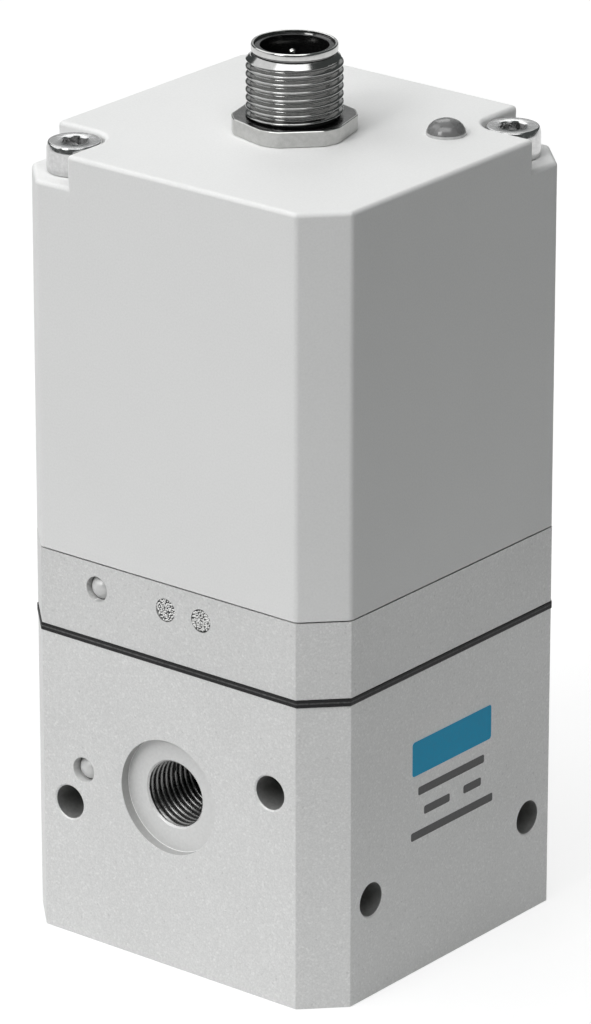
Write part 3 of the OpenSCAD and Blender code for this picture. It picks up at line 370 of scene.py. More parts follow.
# Tapped threads: aluminium painted dark, as painted shade deep in the ports.
tapped_painted_shade = finish("tapped_aluminium", (0.17, 0.17, 0.167), (0.24, 0.24, 0.237), 0.3, 0.0003, 0.000001,
                metallic=0.9)


def port_radius(p):
    return hypot(p.x, p.z - PORT_Z)


def outside_port_thread(p):
    depth = HALF - abs(p.y)
    return not (SPOT_DEPTH < depth < THREAD_END - 0.01 and 4.0 < port_radius(p) < 5.6)


def depth_in_block(p):
    """How far a point lies inside the upright faces of the square block with its cut corners."""
    corner = (2 * HALF - CORNER_CUT - abs(p.x) - abs(p.y)) / sqrt(2)
    return min(HALF - abs(p.x), HALF - abs(p.y), corner)


def skin_or_bore(node):
    """Tells the outer faces of a block, 0, from the port seats and plugged holes, 1, the bores and chambers,
    2, and the upright walls, 3, and corners, 4, of the seats."""
    low, high = (corner.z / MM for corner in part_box(node))

    def choose(p):
        if min(depth_in_block(p), p.z - low, high - p.z) < 0.12:
            return 0
        depth = HALF - abs(p.y)
        # A seat's upright walls get a darker finish (painted shade), and the ring in its inner corner a pale
        # one (a painted highlight).
        if depth < SPOT_DEPTH + 0.1 and port_radius(p) < SPOT_R + 0.2:
            return 1 if depth > SEAT_DEPTH - 0.01 else 4 if depth > SEAT_DEPTH - 0.07 else 3
        # The bores and chambers get the dark finish, which is painted shade.
        return 1 if p.y < PLUGGED_DEPTH - HALF and PLUGGED_X[0] < p.x < PLUGGED_X[1] else 2
    return choose


def at_mouth(p):
    """True on the rims of the holes in the upright faces and in the corner of a port's seat."""
    if 1.0 < p.z < 39.0 and depth_in_block(p) < 0.05:
        return True
    return abs(HALF - SEAT_DEPTH - abs(p.y)) < 0.05 and abs(port_radius(p) - SPOT_R) < 0.1


def squared(p, top):
    """A point of the small rounding along a block's top edge goes out to where the edge is sharp."""
    near = HALF - UPRIGHT_R
    far = near - CORNER_CUT + UPRIGHT_R * (2 - sqrt(2))
    wide = abs(p.x) > abs(p.y)
    middle = Vector((copysign(near if wide else far, p.x), copysign(far if wide else near, p.y)))
    out = p.xy - middle
    if top - p.z > EDGE_R + 0.001 or out.length > UPRIGHT_R + 0.01:
        return p
    spot = middle + out.normalized() * UPRIGHT_R
    return Vector((spot.x, spot.y, top))


def body_point(p):
    """The seats of the ports lie a little higher than in the CAD and reach in to the thread's mouth."""
    if abs(HALF - abs(p.y) - SPOT_DEPTH) < 0.01 and port_radius(p) < SPOT_R + 0.1:
        inward = PORT_MOUTH_R / port_radius(p) if port_radius(p) < 6 else 1.0
        return Vector((p.x * inward, copysign(HALF - SEAT_DEPTH, p.y), PORT_Z + (p.z - PORT_Z) * inward))
    return squared(p, BODY_TOP)


def port_thread(place):
    """The thread of one port, its lead-in cone turned like the seat."""
    def choose(p):
        depth = HALF - SEAT_DEPTH - abs(p.y)
        return 1 if abs(port_radius(p) - PORT_MOUTH_R + depth) < 0.05 else 0
    return coated(grown(screw_thread, port_sizes, place=place), tapped_painted_shade, turned, choose=choose)


port_sizes = {
    "Length": (THREAD_END - SEAT_DEPTH) * MM, "Root Radius": PORT_ROOT_R * MM,
    "Crest Radius": PORT_CORE_R * MM, "Pitch": PORT_PITCH * MM, "Sharpness": 4.0,
    "Mouth Radius": PORT_MOUTH_R * MM, "Tip Radius": 1.0, "Run Out": 1.2 * MM, "Steps": 72, "Inside": True,
    "Finish": tapped_painted_shade}
seat_y = (HALF - SEAT_DEPTH) * MM
into_front = Matrix.Translation((0, -seat_y, PORT_Z * MM)) @ Matrix.Rotation(-pi / 2, 4, "X")
into_back = Matrix.Translation((0, seat_y, PORT_Z * MM)) @ Matrix.Rotation(pi / 2, 4, "X")
body_mesh = coated(cad_copy("valve_body", outside_port_thread, 0.06 * MM, at_mouth, moved=body_point),
                   blasted, turned, bored_painted_shade, seat_wall_painted_shade, seat_corner_painted_highlight, choose=skin_or_bore("valve_body"))
piece("valve_body_block", [body_mesh, port_thread(into_front), port_thread(into_back)],
      "housing", "anodised_aluminium", "valve_body")


# Bottom plug
# Turned from aluminium bar and screwed into the underside. It guides the poppet's stem and carries the
# tapped exhaust port, with two blind holes for a pin spanner.

PLUG_FACE = 0.3
PLUG_THREAD = 7.4
EXHAUST_MOUTH_R = 5.0


def outside_exhaust_thread(p):
    return not (PLUG_FACE + 0.01 < p.z < PLUG_FACE + PLUG_THREAD - 0.01 and 4.0 < hypot(p.x, p.y) < 4.4)


plug_turned = ringed(finish("plug_aluminium", (0.56, 0.56, 0.55), (0.66, 0.66, 0.65), 0.36, 0.0004, 0.000002,
                            metallic=0.8))
plug_mesh = coated(cad_copy("bottom_plug", outside_exhaust_thread, 0.1 * MM), plug_turned)
for vertex in plug_mesh.vertices:
    reach = hypot(vertex.co.x, vertex.co.y)
    if abs(vertex.co.z - PLUG_FACE * MM) < 0.00001 and abs(reach - PORT_CORE_R * MM) < 0.00005:
        vertex.co.x *= EXHAUST_MOUTH_R * MM / reach
        vertex.co.y *= EXHAUST_MOUTH_R * MM / reach
exhaust_sizes = dict(port_sizes, **{"Length": PLUG_THREAD * MM, "Mouth Radius": EXHAUST_MOUTH_R * MM})
piece("bottom_plug_turned",
      [plug_mesh, grown(screw_thread, exhaust_sizes, place=Matrix.Translation((0, 0, PLUG_FACE * MM)))],
      "housing", "anodised_aluminium", "bottom_plug")


# O-rings and seals
# Moulded nitrile rings and discs, matt black. They are stretched into their grooves or pressed into cups.

def dress(material, *nodes):
    """Gives CAD nodes whose shape is right a finish of their own."""
    for node in nodes:
        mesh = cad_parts[node].data
        mesh.materials.clear()
        mesh.materials.append(material)


rubber = finish("black_rubber", (0.016, 0.016, 0.017), (0.034, 0.034, 0.035), 0.62, 0.0002, 0.000006)
dress(rubber, "plug_o_ring", "stem_o_ring", "poppet_seal", "supply_valve_seal", "vent_valve_seal",
      "sensor_o_ring", "connector_o_ring")


# Poppet and piston
# Brass turnings: the hollow poppet under the seat, and the piston whose stud takes an aluminium washer and
# a thin steel nut to grip the middle of the diaphragm.

brass = ringed(finish("turned_brass", (0.56, 0.40, 0.17), (0.68, 0.50, 0.23), 0.28, 0.0004, 0.000002,
                      metallic=1.0))
zinc = finish("zinc_plated_steel", (0.58, 0.58, 0.59), 0.72, 0.22, 0.0005, 0.000002, metallic=1.0)
dress(brass, "poppet", "piston")
dress(plug_turned, "piston_washer")
dress(zinc, "piston_nut")


# Springs
# Wound from hard steel wire with one dead turn at each end: one closes the poppet, and a small one closes
# each solenoid plunger.

def spring_tree():
    """A compression spring that stands on the origin, its end turns closed."""
    tree, size, outlet = new_tree("closed_spring", [
        ("Height", "Float"), ("Coil Radius", "Float"), ("Wire", "Float"), ("Turns", "Float"),
        ("Finish", "Material")])
    do = partial(calc, tree)
    line = add(tree, "GeometryNodeCurveSpiral", Resolution=28, Rotations=size["Turns"],
               Start_Radius=size["Coil Radius"], End_Radius=size["Coil Radius"], Height=size["Height"])
    along = do("MULTIPLY", add(tree, "GeometryNodeSplineParameter").outputs["Factor"], size["Turns"])
    first = do("MINIMUM", along, 1.0)
    live = do("DIVIDE", do("SUBTRACT", along, 1.0), do("SUBTRACT", size["Turns"], 2.0))
    live = do("MINIMUM", do("MAXIMUM", live, 0.0), 1.0)
    last = do("MAXIMUM", do("SUBTRACT", do("ADD", along, 1.0), size["Turns"]), 0.0)
    dead = do("MULTIPLY", do("ADD", do("ADD", first, last), 0.5), size["Wire"])
    travel = do("SUBTRACT", size["Height"], do("MULTIPLY", size["Wire"], 3.0))
    rise = do("MULTIPLY_ADD", live, travel, dead)
    spot = add(tree, "ShaderNodeSeparateXYZ", Vector=add(tree, "GeometryNodeInputPosition").outputs[0])
    point = add(tree, "ShaderNodeCombineXYZ", X=spot.outputs["X"], Y=spot.outputs["Y"], Z=rise)
    bent = add(tree, "GeometryNodeSetPosition", Geometry=line.outputs[0], Position=point.outputs[0])
    section = add(tree, "GeometryNodeCurvePrimitiveCircle", Resolution=10,
                  Radius=do("MULTIPLY", size["Wire"], 0.5))
    wire = add(tree, "GeometryNodeCurveToMesh", Curve=bent.outputs[0], Profile_Curve=section.outputs[0],
               Fill_Caps=True)
    return close_tree(tree, wire.outputs[0], size["Finish"], outlet)


closed_spring = spring_tree()
spring_wire = finish("spring_wire", (0.36, 0.36, 0.37), (0.52, 0.52, 0.53), 0.3, 0.0003, 0.000002,
                     metallic=1.0)
for node, joint, coil_r, wire, turns, fixed_low in (
        ("poppet_spring", "poppet_slide", 6.0, 1.0, 6.5, True),
        ("supply_valve_spring", "supply_plunger_slide", 3.1, 0.4, 4.0, False),
        ("vent_valve_spring", "vent_plunger_slide", 3.1, 0.4, 4.0, False)):
    low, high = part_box(node)
    tall = high.z - low.z
    foot = Vector(((low.x + high.x) / 2, (low.y + high.y) / 2, low.z))
    coil = grown(closed_spring, {
        "Height": tall, "Coil Radius": coil_r * MM, "Wire": wire * MM, "Turns": turns, "Finish": spring_wire},
        place=Matrix.Translation(foot))
    wound = piece(node + "_wound", [coil], "housing", "zinc_plated_steel", node)
    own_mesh(wound)


# Diaphragm
# A sheet of fabric-backed rubber, die cut to the block's outline. Its rim is clamped between body and pilot
# plate and swells a little at the joint, so it shows all round as a black line. The middle is gripped by the
# piston, and a rolled ring between them gives way.

def stacked(loops, cap_first=True, cap_last=True):
    """A mesh from closed loops with equal numbers of points, joined in order."""
    shape = bmesh.new()
    rows = [[shape.verts.new(p) for p in loop] for loop in loops]
    count = len(rows[0])
    for a, b in zip(rows, rows[1:]):
        for i in range(count):
            shape.faces.new((a[i], a[(i + 1) % count], b[(i + 1) % count], b[i]))
    if cap_first:
        shape.faces.new(rows[0][::-1])
    if cap_last:
        shape.faces.new(rows[-1])
    bmesh.ops.recalc_face_normals(shape, faces=shape.faces)
    return mesh_of(shape, "stack")


def round_loop(radius, height, count):
    """A circle in millimetres as points in metres. The radius may be a function of the angle."""
    loop = []
    for i in range(count):
        a = 2 * pi * i / count
        r = radius(a) if callable(radius) else radius
        loop.append((r * MM * cos(a), r * MM * sin(a), height * MM))
    return loop


def lathed(rows, count, cap_first=True, cap_last=True):
    """A turned shape from rows of radius and height in millimetres."""
    return stacked([round_loop(r, z, count) for r, z in rows], cap_first, cap_last)


def at_rim(p):
    return depth_in_block(p) < 0.5


HIGHLIGHT_BAND_LOW = 40.68
HIGHLIGHT_BAND_HIGH = 40.88
SHEET_MIDDLE = 40.5
SWELLING = 1.0105
DROOP = 0.08
ROLL_AT = 15.0
ROLL_R = 1.5
ROLL_T = 0.8
sheet_rubber = finish("diaphragm_rubber", (0.006, 0.006, 0.0065), (0.016, 0.016, 0.0165), 0.55, 0.00016,
                      0.000008)
# A paler rubber for a band along the middle of the rim's edge: a painted highlight.
sheet_painted_highlight = finish("diaphragm_fabric", 0.05, 0.12, 0.8, 0.0003, 0.00001)
for material in (sheet_rubber, sheet_painted_highlight):
    surface_of(material)["Specular IOR Level"].default_value = 0.25


def swollen(p):
    """The rim is squeezed out a little and down over the body's edge."""
    if not at_rim(p):
        return p
    return Vector((p.x * SWELLING, p.y * SWELLING, p.z - DROOP if p.z < SHEET_MIDDLE else p.z))


def cut_across(mesh, *heights):
    """The mesh with its faces divided at these heights in millimetres."""
    shape = bmesh.new()
    shape.from_mesh(mesh)
    for height in heights:
        bmesh.ops.bisect_plane(shape, geom=shape.verts[:] + shape.edges[:] + shape.faces[:], dist=0.000001,
                               plane_co=(0, 0, height * MM), plane_no=(0, 0, 1))
    return mesh_of(shape, mesh.name + "_cut")


def painted_highlight_band(p):
    """A lighter band painted along the middle of the rim's cut edge, between two dark bands: a painted
    highlight.
    """
    return 1 if depth_in_block(p) < 0.1 and HIGHLIGHT_BAND_LOW < p.z < HIGHLIGHT_BAND_HIGH else 0


def off_centre(p):
    return hypot(p.x, p.y)


def in_roll(p):
    """True on the rolled ring's faces. The margin takes in the flats of its inner wall."""
    reach = hypot(off_centre(p) - ROLL_AT, p.z - BODY_TOP)
    return p.z > BODY_TOP + 0.01 and reach < ROLL_R + ROLL_T / 2 + 0.05


def outside_roll(p):
    return off_centre(p) > ROLL_AT and not in_roll(p)


def inside_roll(p):
    return off_centre(p) < ROLL_AT and not in_roll(p)


def half_roll(first, last):
    """Half of the rolled ring, between two angles of its arch."""
    turn = [radians(first + (last - first) * step / 8) for step in range(9)]
    arch = [(ROLL_R + ROLL_T / 2, a) for a in turn] + [(ROLL_R - ROLL_T / 2, a) for a in reversed(turn)]
    rows = [(ROLL_AT + r * cos(a), BODY_TOP + r * sin(a)) for r, a in arch + arch[:1]]
    return coated(lathed(rows, 72, False, False), sheet_rubber)


roll_foot = (0, 0, BODY_TOP * MM)
roll_crown = (0, 0, (BODY_TOP + ROLL_R - ROLL_T / 2) * MM)
sheet_mesh = cad_copy("diaphragm", outside_roll, 0.12 * MM, at_rim, 3, moved=swollen)
sheet_mesh = coated(cut_across(sheet_mesh, HIGHLIGHT_BAND_LOW, HIGHLIGHT_BAND_HIGH), sheet_rubber, sheet_painted_highlight,
                    choose=painted_highlight_band)
piece("diaphragm_sheet", [sheet_mesh], "housing", "black_rubber", "diaphragm")
piece("diaphragm_outer_roll", [half_roll(0, 90)], ("housing", "poppet", roll_foot, roll_crown),
      "black_rubber")
piece("diaphragm_inner_roll", [half_roll(90, 180)], ("poppet", "piston", roll_crown, roll_foot),
      "black_rubber")
piece("diaphragm_disc", [coated(cad_copy("diaphragm", inside_roll), sheet_rubber)], "piston", "black_rubber")


# Pilot plate
# A second aluminium block with the same outline and finish as the body. It is drilled from the front for
# the galleries, and carries the two pilot valves on its top.

PLATE_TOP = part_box("pilot_plate")[1].z / MM


def plate_point(p):
    return squared(p, PLATE_TOP)


blasted_plate = painted_glints_and_pits(finish("blasted_plate", (0.615, 0.615, 0.61), (0.725, 0.725, 0.72), 0.58, 0.00022,
                                0.000006, metallic=0.2))
plate_mesh = coated(cad_copy("pilot_plate", moved=plate_point), blasted_plate, turned, bored_painted_shade,
                    choose=skin_or_bore("pilot_plate"))
piece("pilot_plate_block", [plate_mesh], "housing", "anodised_aluminium", "pilot_plate")


# Screws in the pilot plate
# Two socket head cap screws hold the plate to the body under the hood. They are cold headed, zinc plated
# and the same as the pair that clamps the hood, only shorter.

def hexagon_radius(flats, turn=0.0):
    """The distance from the middle to a hexagon's edge, by angle."""
    return lambda a: flats / 2 / cos((a - turn) % (pi / 3) - pi / 6)


def cap_screw_mesh(shank, coating):
    """Socket head cap screw M4: the head's seat is at the origin and the shank points down."""
    socket = hexagon_radius(3.0)
    rows = [(0.9, -shank), (1.6, -shank + 0.5), (2.0, -shank + 0.9), (2.0, -0.3), (2.15, -0.05), (2.2, 0.0),
            (3.2, 0.0), (3.38, 0.03), (3.48, 0.12), (3.5, 0.25), (3.5, 2.85), (3.49, 2.95), (3.46, 3.1),
            (3.36, 3.5), (3.31, 3.62), (3.26, 3.69), (3.18, 3.735), (3.1, 3.75), (3.03, 3.75), (1.9, 3.75),
            (1.82, 3.73), (socket, 3.63), (socket, 2.05), (1.2, 1.9), (0.15, 1.5)]
    return coated(lathed(rows, 72), coating)


def set_out_tree():
    """Copies of one pattern on the points of the start mesh."""
    tree, size, outlet = new_tree("set_out", [
        ("Pattern", "Object"), ("Turn", "Float"), ("Finish", "Material")])
    dots = add(tree, "GeometryNodeMeshToPoints", Mesh=size["Geometry"])
    pattern = add(tree, "GeometryNodeObjectInfo", Object=size["Pattern"])
    twist = calc(tree, "MULTIPLY", add(tree, "GeometryNodeInputIndex").outputs[0], size["Turn"])
    facing = add(tree, "ShaderNodeCombineXYZ", Z=twist)
    copies = add(tree, "GeometryNodeInstanceOnPoints", Points=dots.outputs[0],
                 Instance=pattern.outputs["Geometry"], Rotation=facing.outputs[0])
    return close_tree(tree, copies.outputs[0], size["Finish"], outlet)


set_out = set_out_tree()


def repeated(pattern_mesh, points, turn=0.0):
    """One mesh with the pattern at each point in millimetres, each turned on from the one before."""
    pattern = new_object("pattern", pattern_mesh)
    dots = bpy.data.meshes.new("dots")
    dots.from_pydata([Vector(p) * MM for p in points], [], [])
    made = grown(set_out, {"Pattern": pattern, "Turn": turn, "Finish": pattern_mesh.materials[0]}, start=dots)
    bpy.data.objects.remove(pattern)
    return made


def screw_pair(node, name, seat, across, coating):
    """The two screws of a node, on the diagonal of the block where y is across times x."""
    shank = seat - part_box(node)[0].z / MM
    places = [(side * SCREW_AT, side * across * SCREW_AT, seat) for side in (-1, 1)]
    piece(name, [repeated(cap_screw_mesh(shank, coating), places, 0.9)], "housing", "zinc_plated_steel", node)


SCREW_AT = 19.0
PLATE_SEAT = 46.8
screw_pair("plate_screws", "plate_cap_screws", PLATE_SEAT, -1, zinc)


# Ball plugs
# Hardened steel balls pressed into the mouths of two drillings. The metal round each one is staked over, so
# a thin ring of it stands against the ball.

BALL_R = 1.65
ball_steel = finish("polished_ball_steel", (0.62, 0.62, 0.615), (0.68, 0.68, 0.675), 0.38, 0.0006, 0.000001,
                    metallic=0.15)
ball_rows = [(BALL_R * sin(a), -BALL_R * cos(a)) for a in [pi * (i + 0.15) / 24.3 for i in range(25)]]
ball_mesh = coated(lathed(ball_rows, 40), ball_steel)
stake_rows = ((1.655, 0.45), (1.60, 0.60), (1.58, 0.68), (1.60, 0.73), (1.63, 0.72), (1.66, 0.66))
# The staked ring takes the bores' dark finish: painted shade in the gap round the ball.
stake_mesh = coated(lathed(stake_rows, 40, False, False), bored_painted_shade)
GALLERY_Z = 47.85
ball_points = [(-13.7, -HALF + 0.3 + BALL_R, PORT_Z), (-11.2, -HALF + BALL_R, GALLERY_Z)]
front_facing = Matrix.Rotation(pi / 2, 4, "X")
ball_mesh.transform(front_facing)
stake_mesh.transform(front_facing)
piece("pressed_balls", [repeated(ball_mesh, ball_points), repeated(stake_mesh, ball_points)],
      "housing", "bearing_steel", "ball_plugs")


# Vent filters
# Discs sintered from steel powder, pressed flush into the plate's front. Air escapes between the grains.

def sinter_tree():
    """Grains scattered on the start mesh, each a small sphere of its own size."""
    tree, size, outlet = new_tree("sintered_face", [
        ("Grain", "Float"), ("Spacing", "Float"), ("Seed", "Int"), ("Finish", "Material")])
    dots = add(tree, "GeometryNodeDistributePointsOnFaces", {"distribute_method": "POISSON"},
               Mesh=size["Geometry"], Distance_Min=size["Spacing"], Density_Max=90000000.0, Seed=size["Seed"])
    ball = add(tree, "GeometryNodeMeshIcoSphere", Radius=size["Grain"], Subdivisions=2)
    scale = add(tree, "FunctionNodeRandomValue", {"data_type": "FLOAT"}, Min=0.7, Max=1.15, Seed=size["Seed"])
    grains = add(tree, "GeometryNodeInstanceOnPoints", Points=dots.outputs["Points"],
                 Instance=ball.outputs[0], Scale=next(o for o in scale.outputs if o.enabled))
    return close_tree(tree, grains.outputs[0], size["Finish"], outlet)


sintered_face = sinter_tree()
sintered = finish("sintered_steel", (0.62, 0.62, 0.61), (0.92, 0.92, 0.91), 0.42, 0.00035, 0.00001,
                  metallic=0.3)
# The disc under the grains is painted nearly black: painted shade in the pores between them and in the gap
# round the disc.
pore_painted_shade = finish("sintered_pores", 0.02, 0.06, 0.7, 0.0002, 0.00001)
filter_meshes = []
for number, x in enumerate((-0.2, 5.4)):
    facing = Matrix.Translation((x * MM, -HALF * MM, GALLERY_Z * MM)) @ front_facing
    disc_rows = ((1.3, -2.0), (1.5, -1.8), (1.5, -0.25), (1.42, -0.14), (0.2, -0.14))
    disc = coated(lathed(disc_rows, 40), pore_painted_shade)
    disc.transform(facing)
    bed = lathed(((1.38, -0.13), (0.05, -0.13)), 32, False, True)
    bed.transform(facing)
    grain_sizes = {"Grain": 0.15 * MM, "Spacing": 0.235 * MM, "Seed": 5 + number, "Finish": sintered}
    filter_meshes += [disc, grown(sintered_face, grain_sizes, start=bed)]
piece("sintered_filters", filter_meshes, "housing", "sintered_steel", "vent_filters")


# Pilot valves
# Two small solenoid valves on the pilot plate. Each has a moulded base, a folded steel yoke, a plastic
# bobbin wound with enamelled copper, and a steel core and plunger.

def wound_copper():
    """Enamelled wire, laid in level turns up the bobbin."""
    material = finish("enamelled_copper", (0.42, 0.15, 0.05), (0.56, 0.22, 0.08), 0.3, 0.0005, 0.000002,
                      metallic=0.7)
    tree = material.node_tree
    surface = surface_of(material)
    place = object_place(tree)
    rise = add(tree, "ShaderNodeSeparateXYZ", Vector=place).outputs["Z"]
    turns = calc(tree, "ABSOLUTE", calc(tree, "SINE", calc(tree, "MULTIPLY", rise, pi / 0.00018)))
    bump = add(tree, "ShaderNodeBump", Height=turns, Distance=0.00006)
    tree.links.new(bump.outputs["Normal"], surface["Normal"])
    return material


base_plastic = finish("base_plastic", (0.045, 0.045, 0.048), (0.07, 0.07, 0.075), 0.5, 0.0003, 0.000008)
yoke_steel = finish("yoke_steel", (0.34, 0.34, 0.35), (0.46, 0.46, 0.47), 0.34, 0.0008, 0.000003,
                    metallic=1.0)
bobbin_plastic = finish("bobbin_plastic", (0.014, 0.014, 0.015), (0.03, 0.03, 0.032), 0.45, 0.0003, 0.000006)
copper = wound_copper()
sleeve = finish("lead_sleeve", (0.32, 0.02, 0.02), (0.46, 0.04, 0.035), 0.4, 0.0006, 0.000004)
for valve in ("supply_valve", "vent_valve"):
    dress(base_plastic, valve + "_base")
    dress(yoke_steel, valve + "_yoke", valve + "_core", valve + "_plunger")
    dress(bobbin_plastic, valve + "_bobbin")
    dress(copper, valve + "_winding")
dress(zinc, "valve_screws")
dress(sleeve, "coil_leads")


# Sensor and electronics
# A pressure sensor in a steel can, and two glass-fibre boards with the controller, drivers and a capacitor.
# The boards are joined by a pin strip and hang under the connector.

def printed_board():
    """Green solder resist over copper tracks, which show through as raised lighter lines."""
    material = finish("solder_resist", (0.012, 0.085, 0.035), (0.018, 0.115, 0.048), 0.3, 0.0006, 0.000002)
    tree = material.node_tree
    surface = surface_of(material)
    place = object_place(tree)
    tracks = add(tree, "ShaderNodeTexBrick", Vector=place, Scale=320.0, Mortar_Size=0.05,
                 Color1=(0.014, 0.10, 0.042, 1.0), Color2=(0.016, 0.11, 0.046, 1.0),
                 Mortar=(0.06, 0.22, 0.10, 1.0))
    tree.links.new(tracks.outputs["Color"], surface["Base Color"])
    bump = add(tree, "ShaderNodeBump", Height=tracks.outputs["Fac"], Distance=0.00003)
    tree.links.new(bump.outputs["Normal"], surface["Normal"])
    return material


dress(yoke_steel, "pressure_sensor")
dress(printed_board(), "main_board", "connector_board")
dress(finish("chip_epoxy", (0.010, 0.010, 0.011), (0.022, 0.022, 0.023), 0.55, 0.0002, 0.000005),
      "controller_chip", "driver_chips", "board_header")
dress(finish("capacitor_sleeve", (0.01, 0.025, 0.10), (0.02, 0.045, 0.15), 0.3, 0.0008, 0.000003),
      "capacitor")


# Hood gasket
# A thin ring of soft rubber under the hood's edge. Only its outer edge shows, as a dark hairline.

piece("hood_gasket_ring", [coated(cad_copy("hood_gasket", softened=0.1 * MM), rubber)],
      "housing", "black_rubber", "hood_gasket")


# Hood
# Injection moulded in light grey plastic with a finely eroded, satin skin. Two corners are stepped down for
# the clamp screws, and all outer edges are gently rounded by the mould.

HOOD_LOW = 51.4
HOOD_TOP = 103.2
STEP_Z = 99.1
POCKET_R = 3.7
HOOD_EDGE = 0.6


def hood_outside():
    """The hood's outer faces with sharp edges. Each edge is marked with its share of the largest rounding."""
    shape = bmesh.new()
    made = {}

    def face(side, *corners):
        ring = []
        for x, y, z in corners:
            key = (round(side * x, 3), round(side * y, 3), z)
            if key not in made:
                made[key] = shape.verts.new((side * x * MM, side * y * MM, z * MM))
            ring.append(made[key])
        shape.faces.new(ring)

    far = HALF - CORNER_CUT
    wall = SCREW_AT - POCKET_R
    bend = [radians(270 - 9 * step) for step in range(11)]
    pocket = [(HALF, wall)]
    pocket += [(SCREW_AT + POCKET_R * cos(a), SCREW_AT + POCKET_R * sin(a)) for a in bend]
    pocket += [(wall, HALF)]
    top = []
    for side in (1, -1):
        face(side, (HALF, -far, HOOD_LOW), (HALF, far, HOOD_LOW), (HALF, far, STEP_Z), (HALF, wall, STEP_Z),
             (HALF, wall, HOOD_TOP), (HALF, -far, HOOD_TOP))
        face(side, (HALF, far, HOOD_LOW), (far, HALF, HOOD_LOW), (far, HALF, STEP_Z), (HALF, far, STEP_Z))
        face(side, (far, HALF, HOOD_LOW), (-far, HALF, HOOD_LOW), (-far, HALF, HOOD_TOP),
             (wall, HALF, HOOD_TOP), (wall, HALF, STEP_Z), (far, HALF, STEP_Z))
        face(side, (-far, HALF, HOOD_LOW), (-HALF, far, HOOD_LOW), (-HALF, far, HOOD_TOP),
             (-far, HALF, HOOD_TOP))
        face(side, (HALF, far, STEP_Z), (far, HALF, STEP_Z), *[(x, y, STEP_Z) for x, y in pocket[::-1]])
        for (x0, y0), (x1, y1) in zip(pocket, pocket[1:]):
            face(side, (x0, y0, STEP_Z), (x1, y1, STEP_Z), (x1, y1, HOOD_TOP), (x0, y0, HOOD_TOP))
        top += [(side * x, side * y, HOOD_TOP) for x, y in pocket + [(-far, HALF), (-HALF, far)]]
    face(1, *top)
    bmesh.ops.recalc_face_normals(shape, faces=shape.faces)
    share = shape.edges.layers.float.new("bevel_weight_edge")
    for edge in shape.edges:
        if len(edge.link_faces) == 2 and edge.is_convex and edge.calc_face_angle() > radians(20):
            edge[share] = 1.0 if edge.calc_face_angle() > radians(60) else 0.7
    return mesh_of(shape, "hood_outside")


def rounded(mesh, width, segments):
    """The mesh with its marked edges rounded."""
    def settle(bevel):
        bevel.limit_method = "WEIGHT"
        bevel.width = width
        bevel.segments = segments
    return applied(mesh, "BEVEL", settle)


def inside_hood(p):
    """True for the cavity, the posts and the holes, which keep their CAD faces."""
    x, y = (p.x, p.y) if p.x + p.y > 0 else (-p.x, -p.y)
    wall = SCREW_AT - POCKET_R - 0.1
    stepped = min(x, y) > wall and (max(x, y) > SCREW_AT
                                    or hypot(x - SCREW_AT, y - SCREW_AT) < POCKET_R + 0.1)
    return not (stepped and p.z > STEP_Z - 0.05) and min(depth_in_block(p), HOOD_TOP - p.z) > 0.85


hood_plastic = finish("hood_plastic", (0.795, 0.795, 0.79), (0.84, 0.84, 0.835), 0.6, 0.00025, 0.000004)
surface_of(hood_plastic)["Specular IOR Level"].default_value = 0.25
piece("hood_moulding", [coated(rounded(hood_outside(), HOOD_EDGE * MM, 4), hood_plastic),
                        coated(cad_copy("hood", inside_hood), hood_plastic)],
      "housing", "hood_plastic", "hood")


# Clamp screws
# Two long socket head cap screws, zinc plated, in the stepped corners. They pass through hood and plate and
# pull the whole stack onto the valve body.

bright_zinc = finish("bright_zinc", 0.52, 0.62, 0.17, 0.0005, 0.000002, metallic=1.0)
screw_pair("hood_screws", "clamp_cap_screws", STEP_Z, 1, bright_zinc)


# Connector
# A round panel connector: a shell turned from hexagon brass bar and nickel plated, with a threaded barrel
# and a plain rim, a black insulator inside it, and four silver plated pins.

nickel = finish("nickel_plate", (0.50, 0.50, 0.49), (0.58, 0.58, 0.57), 0.13, 0.0006, 0.000001, metallic=1.0,
                gloss_spread=0.03)
# The thread is the same nickel painted darker: painted shade on its flanks.
thread_nickel_painted_shade = finish("nickel_thread", (0.36, 0.36, 0.355), (0.40, 0.40, 0.395), 0.15, 0.0006, 0.0000002,
                       metallic=1.0, gloss_spread=0.015)
# Nearly black nickel: painted shade in the undercut and the groove under the rim, and a painted dark
# reflection on the flange's top.
groove_nickel_painted_shade = finish("nickel_groove", (0.13, 0.13, 0.128), (0.17, 0.17, 0.168), 0.2, 0.0006, 0.0000005,
                       metallic=1.0, gloss_spread=0.03)
SHELL_LOW = 95.2
SHELL_BORE_R = 4.65
FLANGE_TOP = HOOD_TOP + 2.04
THREAD_Z = 105.5
THREAD_TOP = 113.18
THREAD_START = radians(65)
PIN_CIRCLE_R = 2.5
flange = hexagon_radius(14.4, radians(45.0))


def flange_edge(inset):
    return lambda a: min(flange(a), 7.7) - inset


